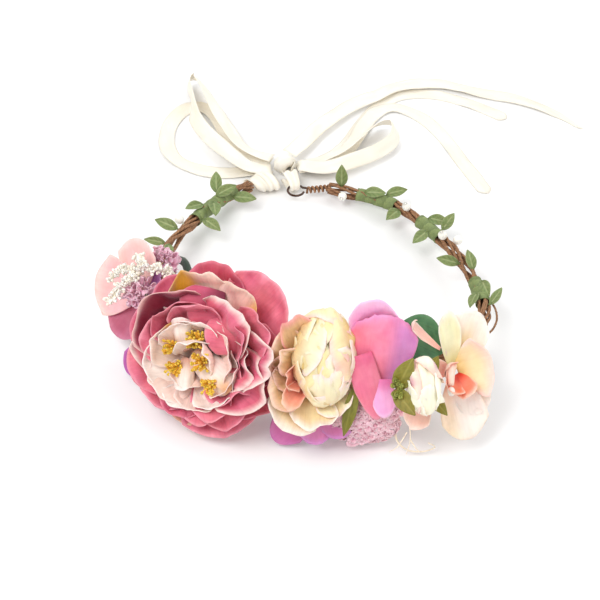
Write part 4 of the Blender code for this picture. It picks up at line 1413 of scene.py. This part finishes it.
PEACH_TOP = shade(
    "#EAC98E", "#F6E3D6", "#FAEDE2", rim_from=0.75, stains=[("#EFD388", 0, 0.2, 0.7, 0.6)],
)
PEACH_CREAM = shade("#E9DC9E", "#F2ECC4", "#F8F1DC", rim_from=0.8)
PEACH_RIGHT = shade("#ECCB7E", "#F4DAB0", "#F8D6CC", rim_from=0.55)
PEACH_LOW = shade(
    "#F0B490", "#FAEADF", "#FBE6D8", rim_from=0.8, stains=[("#F3CF9A", 0.7, 0.75, 0.7, 0.5)],
)
CORAL = shade("#E8583E", "#F58D70", "#FBC8B4", rim_from=0.75)
SMALL_PEACH = shade("#EBA592", "#F5C5B5", "#FAD9CC", rim_from=0.75)

ORCHID_FRAME = axis_frame(Vector((77, -68, 41)), (0.25, -0.72, 0.62))


PEACH_ORCHID = [
    (96, 2, -8, 80, 33, 13, PEACH_CREAM, 14, 0, 40, 1.6, 1.4),
    (70, 2, -9, 80, 33, 24, PEACH_TOP, 12, 0, 30, 2.0, 2.6),
    (14, 2, -7, 74, 19, 34, PEACH_RIGHT, 26, 0, 36, 2.0, 3.7),
    (274, 2, -7, 84, 33, 27, PEACH_LOW, 6, 0, 24, 1.8, 4.8),
    (300, 2, -9, 80, 24, 20, PEACH_TOP, 10, 0, 24, 1.6, 6.9),
    (160, 2, -9, 74, 18, 12, SMALL_PEACH, 24, 0, 40, 1.4, 7.9),
]
PEACH_STRAYS = [
    ((-10, 15, 4), (-32, 33, 6), (0.2, 0.4, 1), 6.5, SMALL_PEACH, 30, 60, 60, 1.2, 8.4),
    ((-18, -10, -4), (-30, -24, 2), (0, 0.3, 1), 16, SMALL_PEACH, 20, 0, 30, 1.2, 9.4),
]
PEACH_LIP = [
    (215, 1, -6, 50, 18, 18, CORAL, 40, 0, 60, 1.4, 1.7),
    (285, 1, -6, 56, 16, 15, CORAL, 30, 0, 50, 1.4, 2.7),
    (150, 1, -6, 52, 14, 13, CORAL, 30, 0, 50, 1.2, 3.8),
]


def make_peach_orchid():
    piece = Piece("peach_orchid_cloth", ORCHID_FRAME)
    add_ring(piece, PEACH_ORCHID, cells=(16, 16), crinkle=0.5)
    add_straight(piece, PEACH_STRAYS)
    piece.make(SMOOTH_PETAL, "peach_orchid_petals", "peach_silk", thickness=0.3)
    lip = Piece("peach_orchid_throat", ORCHID_FRAME)
    add_ring(lip, PEACH_LIP, cells=(16, 16), crinkle=0.5)
    lip.make(SMOOTH_PETAL, "peach_orchid_lip", "pale_pink_silk", thickness=0.3)
    column = Piece("peach_orchid_centre", ORCHID_FRAME)
    line = even_route([(0, 2, -8), (-2, 4, -3), (-5, 3, 2), (-6.5, -4, 5)], 12)
    tube(column, line, lambda t: 1.6 + 1.0 * math.sin(math.pi * t), colour("#F6D9C8"), sides=12)
    bead(column, (-6.6, -7, 5), (0, -1, 0.2), 2.0, 5.0, colour("#FDF8F0"), sides=12, rows=8)
    column.make(PEARL, "peach_orchid_column", "pale_pink_silk")


STEM_ROUTES = [
    [(-84, 16, 24), (-77, 6, 31), (-71, -5, 38), (-66, -20, 41)],
    [(-14, -60, 40), (-22, -64, 44), (-28, -62, 40)],
    [(20, -70, 30), (24, -78, 34), (24, -84, 30)],
    [(22, -66, 58), (16, -64, 54), (14, -68, 48)],
]
# Each root strand: its thickness and route.
ROOT_STRANDS = [
    (0.55, [(48, -84, 14), (50, -88, 8), (56, -90, 4), (64, -89, 3), (70, -87, 5), (66, -88, 9)]),
    (0.35, [(54, -86, 24), (56, -92, 15), (55, -96, 8)]),
    (0.35, [(56, -92, 15), (60, -94, 10), (63, -92, 6)]),
    (0.35, [(54, -90, 18), (50, -95, 12), (46, -96, 8)]),
]


def make_greenery():
    broad = Piece("broad_leaf_cloth")
    leaf(
        broad, (44, -50, 50), (70, -56, 45), (0, -0.5, 1), 26, seed=3,
        green="#4F7F55", dark="#3B6242", pale="#6A9468", fold=0.08,
    )
    broad.make(LEAF, "broad_leaf", "dark_leaf", thickness=0.3)
    strap = Piece("strap_leaf_cloth")
    leaf(
        strap, (25, -85, 42), (22, -97, 18), (0, -1, 0.3), 7, seed=4,
        green="#7F7B30", dark="#66642A", pale="#98924A",
    )
    strap.make(LEAF, "strap_leaf", "sage_leaf", thickness=0.3)
    stems = Piece("dark_green_stems")
    for route in STEM_ROUTES:
        tube(stems, even_route(route, 12), 2.2, colour("#26382A"), sides=8, bump=0.2)
    stems.make(LEAF, None, "dark_leaf")
    roots = Piece("root_filament_strands")
    for thick, route in ROOT_STRANDS:
        line = even_route(route, 24)
        tube(
            roots, line, lambda t, thick=thick: thick * (1.15 - 0.6 * t), colour("#EFE0C8"),
            sides=6, bump=0.3,
        )
    roots.make(BUDS, "root_filament", "cream_silk")


# --- ribbon ----------------------------------------------------------------------

RIBBON_WIDTH = 10.0
# Every route point: x, y, z and the ribbon's lean from lying flat, in degrees.
RIBBON_ROUTES = {
    "bow_loop_left_long": [
        (-35, 130, 9, 10), (-53, 137, 9, 15), (-66, 156, 9, 20), (-79, 181, 9, 30),
        (-88, 199, 9, 45), (-95, 206, 9, 70), (-97, 196, 10, 80), (-92, 179, 10, 80),
        (-89, 163, 10, 60), (-80, 148, 9.5, 40), (-65, 133, 9, 20), (-49, 121, 8, 5),
        (-35, 123, 6, 5),
    ],
    "bow_loop_left_round": [
        (-36, 127, 2.2, 0), (-50, 123, 1.5, 0), (-67, 119, 1.5, 0), (-82, 121, 1.5, 0),
        (-96, 129, 1.5, 0), (-103, 142, 1.5, 0), (-104, 160, 1.5, 0), (-99, 176, 1.5, 0),
        (-90, 184, 1.5, 0), (-80, 180, 2, 0), (-72, 167, 3, 0), (-64, 152, 4, 0),
        (-53, 138, 4.5, 0), (-36, 131, 4.5, 0),
    ],
    "bow_loop_right": [
        (-18, 125, 9.8, 0), (-2, 125, 9.8, 15), (13, 133, 9.5, 35), (31, 147, 9.5, 50),
        (41, 162, 9.5, 60), (39, 177, 9.5, 60), (30, 176, 9.5, 55), (20, 163, 9.5, 45),
        (9, 147, 9.5, 35), (-4, 135, 9, 20), (-18, 128, 7, 5),
    ],
    "ribbon_tail_long": [
        (-25, 137, 8, 10), (-17, 151, 8, 15), (-7, 171, 7, 15), (10, 196, 5.5, 10),
        (26, 212, 4.5, 5), (43, 228, 3.5, 0), (70, 236, 2.8, 0), (97, 232, 2.2, 0),
        (127, 228, 1.6, 0), (148, 218, 1.2, 0), (166, 204, 0.8, 0),
    ],
    "ribbon_tail_back": [
        (-19, 131, 2.5, 0), (-4, 140, 2.2, 0), (9, 157, 1.4, 0), (21, 188, 0.8, 0),
        (35, 213, 0.8, 0), (50, 223, 0.8, 0), (70, 225, 0.8, 0), (94, 218, 0.8, 0),
        (115, 207, 0.8, 0),
    ],
    "ribbon_tail_front": [
        (-19, 127, 4.5, 0), (1, 137, 4.2, 0), (13, 157, 3.6, 0), (24, 190, 2.4, 0),
        (37, 205, 1.8, 0), (54, 201, 1.2, 0), (71, 183, 0.8, 0), (87, 153, 0.8, 0),
        (101, 127, 0.8, 0),
    ],
}
# Ivory satin and a darker ivory that is painted shade; ribbon_tint mixes them by the given amount.
IVORY, IVORY_PAINTED_SHADE = colour("#F8F2E4"), colour("#F0E6D2")


def ribbon_tint(amount):
    return IVORY.lerp(IVORY_PAINTED_SHADE, amount)


def make_satin(piece, name, thickness=0.25):
    """Makes a piece of ribbon that stands for a CAD node."""
    obj = piece.make(SATIN, name, "ivory_satin", thickness=thickness)


def make_ribbon(name, cut=0.0, taper=0.0):
    """One run of ribbon along its route; cut rounds its free end and taper thins it to a point."""
    count = 90
    route = RIBBON_ROUTES[name]
    line = even_route(route, count)
    steps = [Vector(p[:3]) for p in line]
    length = route_length(steps)
    seed = len(name) + route[0][1] * 0.1

    def at(u, v):
        step = round(v * count)
        forward = tangent_at(steps, step)
        flat = UP.cross(forward).normalized()
        lean = math.radians(line[step][3])
        side = flat * math.cos(lean) + UP * math.sin(lean)
        normal = forward.cross(side)
        travelled = length * v
        pull = -cut * RIBBON_WIDTH * u * u * ease(v, 0.9, 1.0)
        lift = 0.5 * math.sin(0.12 * travelled + seed) * u
        lift += 0.7 * wobble(1.3 * u, 0.09 * travelled, seed) - 0.5 * u * u
        half = 0.5 * RIBBON_WIDTH * (1 - taper * ease(v, 0.82, 1.0))
        spot = steps[step] + side * (half * u) + normal * lift + forward * pull
        spot.z = max(spot.z, LOWEST)
        # Soft random patches of the darker ivory: painted shade along the ribbon.
        tint = ribbon_tint(0.5 + 0.5 * wobble(u, 0.05 * travelled, seed + 5))
        return spot, tint, (0.5 * RIBBON_WIDTH * u, travelled)

    piece = Piece(name + "_satin")
    piece.surface((10, count), at)
    make_satin(piece, name)


# The right bight seen from the side: distance from the ring's centre and height.
BIGHT_ENDS_HIGH, BIGHT_ENDS_LOW = 3.4, -3.0
BIGHT_BEND = [(6, 3.4, 0), (2.6, 2.0, 0), (1.6, 0, 0), (2.6, -2.0, 0), (6, -3.0, 0)]


def make_right_bight():
    """The bight in the right eyelet: over its wire, down through the ring and back."""
    ring, knot = Vector((-18, 104, 6)), Vector((-23.5, 118, 6))
    away = (knot - ring).normalized()
    across = UP.cross(away).normalized()
    reach = (knot - ring).length
    ends = (reach, BIGHT_ENDS_HIGH, 0), (reach, BIGHT_ENDS_LOW, 0)
    line = even_route([ends[0], *BIGHT_BEND, ends[1]], 40)
    length = route_length(line)

    def at(u, v):
        distance, height, _ = line[round(v * 40)]
        gather = 0.62 + 0.38 * abs(2 * v - 1) ** 1.2
        pleat = 0.7 * math.sin(7 * u + 3 * v) * gather
        spot = ring + away * (distance + 0.3 * pleat) + across * u * 0.5 * RIBBON_WIDTH * gather
        spot += UP * (height + pleat * (0.4 + 0.6 * abs(2 * v - 1)))
        spot.z = max(spot.z, LOWEST)
        # The darker ivory follows the pleats: painted shade in their folds.
        return spot, ribbon_tint(0.5 + 0.5 * math.sin(7 * u)), (5 * u, length * v)

    piece = Piece("ribbon_bight_right_satin")
    piece.surface((12, 40), at)
    make_satin(piece, "ribbon_bight_right")


def make_left_wrap():
    """The ribbon wound round the left eyelet and its shank, which it hides."""
    ring, shank = Vector((-38, 109, 6)), Vector((-45.6, 103.5, 7.2))
    away = (ring - shank).normalized()
    across = UP.cross(away).normalized()
    wide, high, turns = 7.0, 4.2, 2.2

    def at(u, v):
        angle = 2 * math.pi * turns * v - 1.2
        along = -8.5 + 15.5 * v + 4.6 * u * (1 - 0.2 * v)
        fold = 1 + 0.10 * math.sin(5 * u + 7 * v) + 0.12 * wobble(2 * u, 5 * v, 2) + 0.12 * v
        fold *= 0.62 + 0.38 * ease(along, -9, -1)
        spot = ring + away * along
        spot += across * (wide * fold * math.cos(angle)) + UP * (high * fold * math.sin(angle))
        spot.z = max(spot.z, LOWEST)
        # Bands of darker ivory across the wrap: painted shade of its folds.
        return spot, ribbon_tint(0.5 + 0.5 * math.sin(6 * u + 3 * v)), (5 * u, 70 * v)

    piece = Piece("ribbon_bight_left_satin")
    piece.surface((12, 110), at)
    make_satin(piece, "ribbon_bight_left")


# The loose wire's loop: places on the vine and distances from its middle.
LOOSE_LOOP = [
    (0.722, 3.4), (0.71, 4.6), (0.695, 6.4), (0.68, 7.0), (0.665, 6.4), (0.652, 4.8), (0.645, 3.2),
]


def make_wire_ends():
    """The vine's own wire, wound round the right shank, and a loop sprung loose at the right."""
    piece = Piece("vine_wire_ends")
    brown = colour("#8E5A44")
    start, end = Vector((3, 109, 6.9)), Vector((-11.5, 105.2, 6.2))
    side = (end - start).orthogonal().normalized()
    other = (end - start).normalized().cross(side)
    windings, count, radius = 6, 72, 1.6
    line = []
    for step in range(count + 1):
        turn = 2 * math.pi * windings * step / count
        out = math.cos(turn) * side + math.sin(turn) * other
        line.append(start.lerp(end, step / count) + radius * out)
    tube(piece, line, 0.75, brown, sides=8, bump=0.3)
    points = [around_vine(place, math.pi, reach) for place, reach in LOOSE_LOOP]
    tube(piece, even_route(points, 40), 0.6, brown, sides=8, bump=0.3)
    piece.make(BARK, None, "bark_paper")


def make_knot():
    """The knot: a band of ribbon wound round the gathered runs, with its folds."""
    knot_frame = axis_frame(Vector((-27, 127, 7)), (-0.5, 0.85, 0.1))
    turns = 1.35

    def at(u, v):
        angle = 2 * math.pi * turns * v + 2.4
        puff = 1 - 0.8 * abs(u) ** 2.6 + 0.08 * math.sin(3 * math.pi * u + 5 * v) + 0.16 * v
        reach = 5.8 * puff + 0.6 * wobble(2 * u, 4 * v, 3)
        width = 5.6 * u * (1 - 0.2 * v) + 2.2 * (v - 0.5)
        spot = Vector((reach * 1.1 * math.cos(angle), reach * 0.95 * math.sin(angle), width))
        # Darker ivory towards the band's edges, where it tucks in: painted shade.
        return spot, ribbon_tint(ease(abs(u), 0.5, 1.0)), (5 * u, 50 * v)

    piece = Piece("ribbon_knot_satin", knot_frame)
    piece.surface((12, 70), at)
    make_satin(piece, "ribbon_knot", thickness=0.3)


def make_ribbons():
    make_ribbon("bow_loop_left_long")
    make_ribbon("bow_loop_left_round")
    make_ribbon("bow_loop_right")
    make_ribbon("ribbon_tail_long", cut=0.7, taper=0.7)
    make_ribbon("ribbon_tail_back", cut=0.4)
    make_ribbon("ribbon_tail_front", cut=0.4)
    make_left_wrap()
    make_right_bight()
    make_knot()


# --- felt band and CAD nodes -----------------------------------------------------

FELT_FROM, FELT_TO = 0.20, 0.62
FELT_HALF_WIDTH, FELT_OFFSET = 9.0, 4.9


def make_felt():
    """The felt band behind the flowers, with soft, slightly wavy cut edges."""
    green = colour("#2E4632")

    def at(u, v):
        place = FELT_FROM + (FELT_TO - FELT_FROM) * v
        middle, _, inner = vine_frame(place)
        travelled = VINE_LENGTH * place
        high = FELT_HALF_WIDTH * u + 0.35 * wobble(0.12 * travelled, 3 * u, 1) * abs(u)
        off = FELT_OFFSET + 0.35 * wobble(0.05 * travelled, 1.5 * u, 7)
        return middle + inner * off + VINE_UP * high, green, (high, travelled)

    piece = Piece("felt_band")
    piece.surface((8, 120), at)
    piece.make(FELT, "felt_backing", "felt", thickness=1.4)


def finish_cad_nodes():
    """Node materials for the CAD nodes whose shape stays."""
    for name, material in (
        ("wire_eyelet_left", WIRE), ("wire_eyelet_right", WIRE), ("peony_calyx", TAPE),
    ):
        for slot in frame["nodes"][name].material_slots:
            slot.material = material


make_stage()
make_vine()
make_tape()
make_leaves()
make_berries()
make_peony()
make_rose()
make_left_flowers()
make_violet()
make_hydrangea()
make_bud()
make_peach_orchid()
make_greenery()
make_ribbons()
make_wire_ends()
make_felt()
finish_cad_nodes()
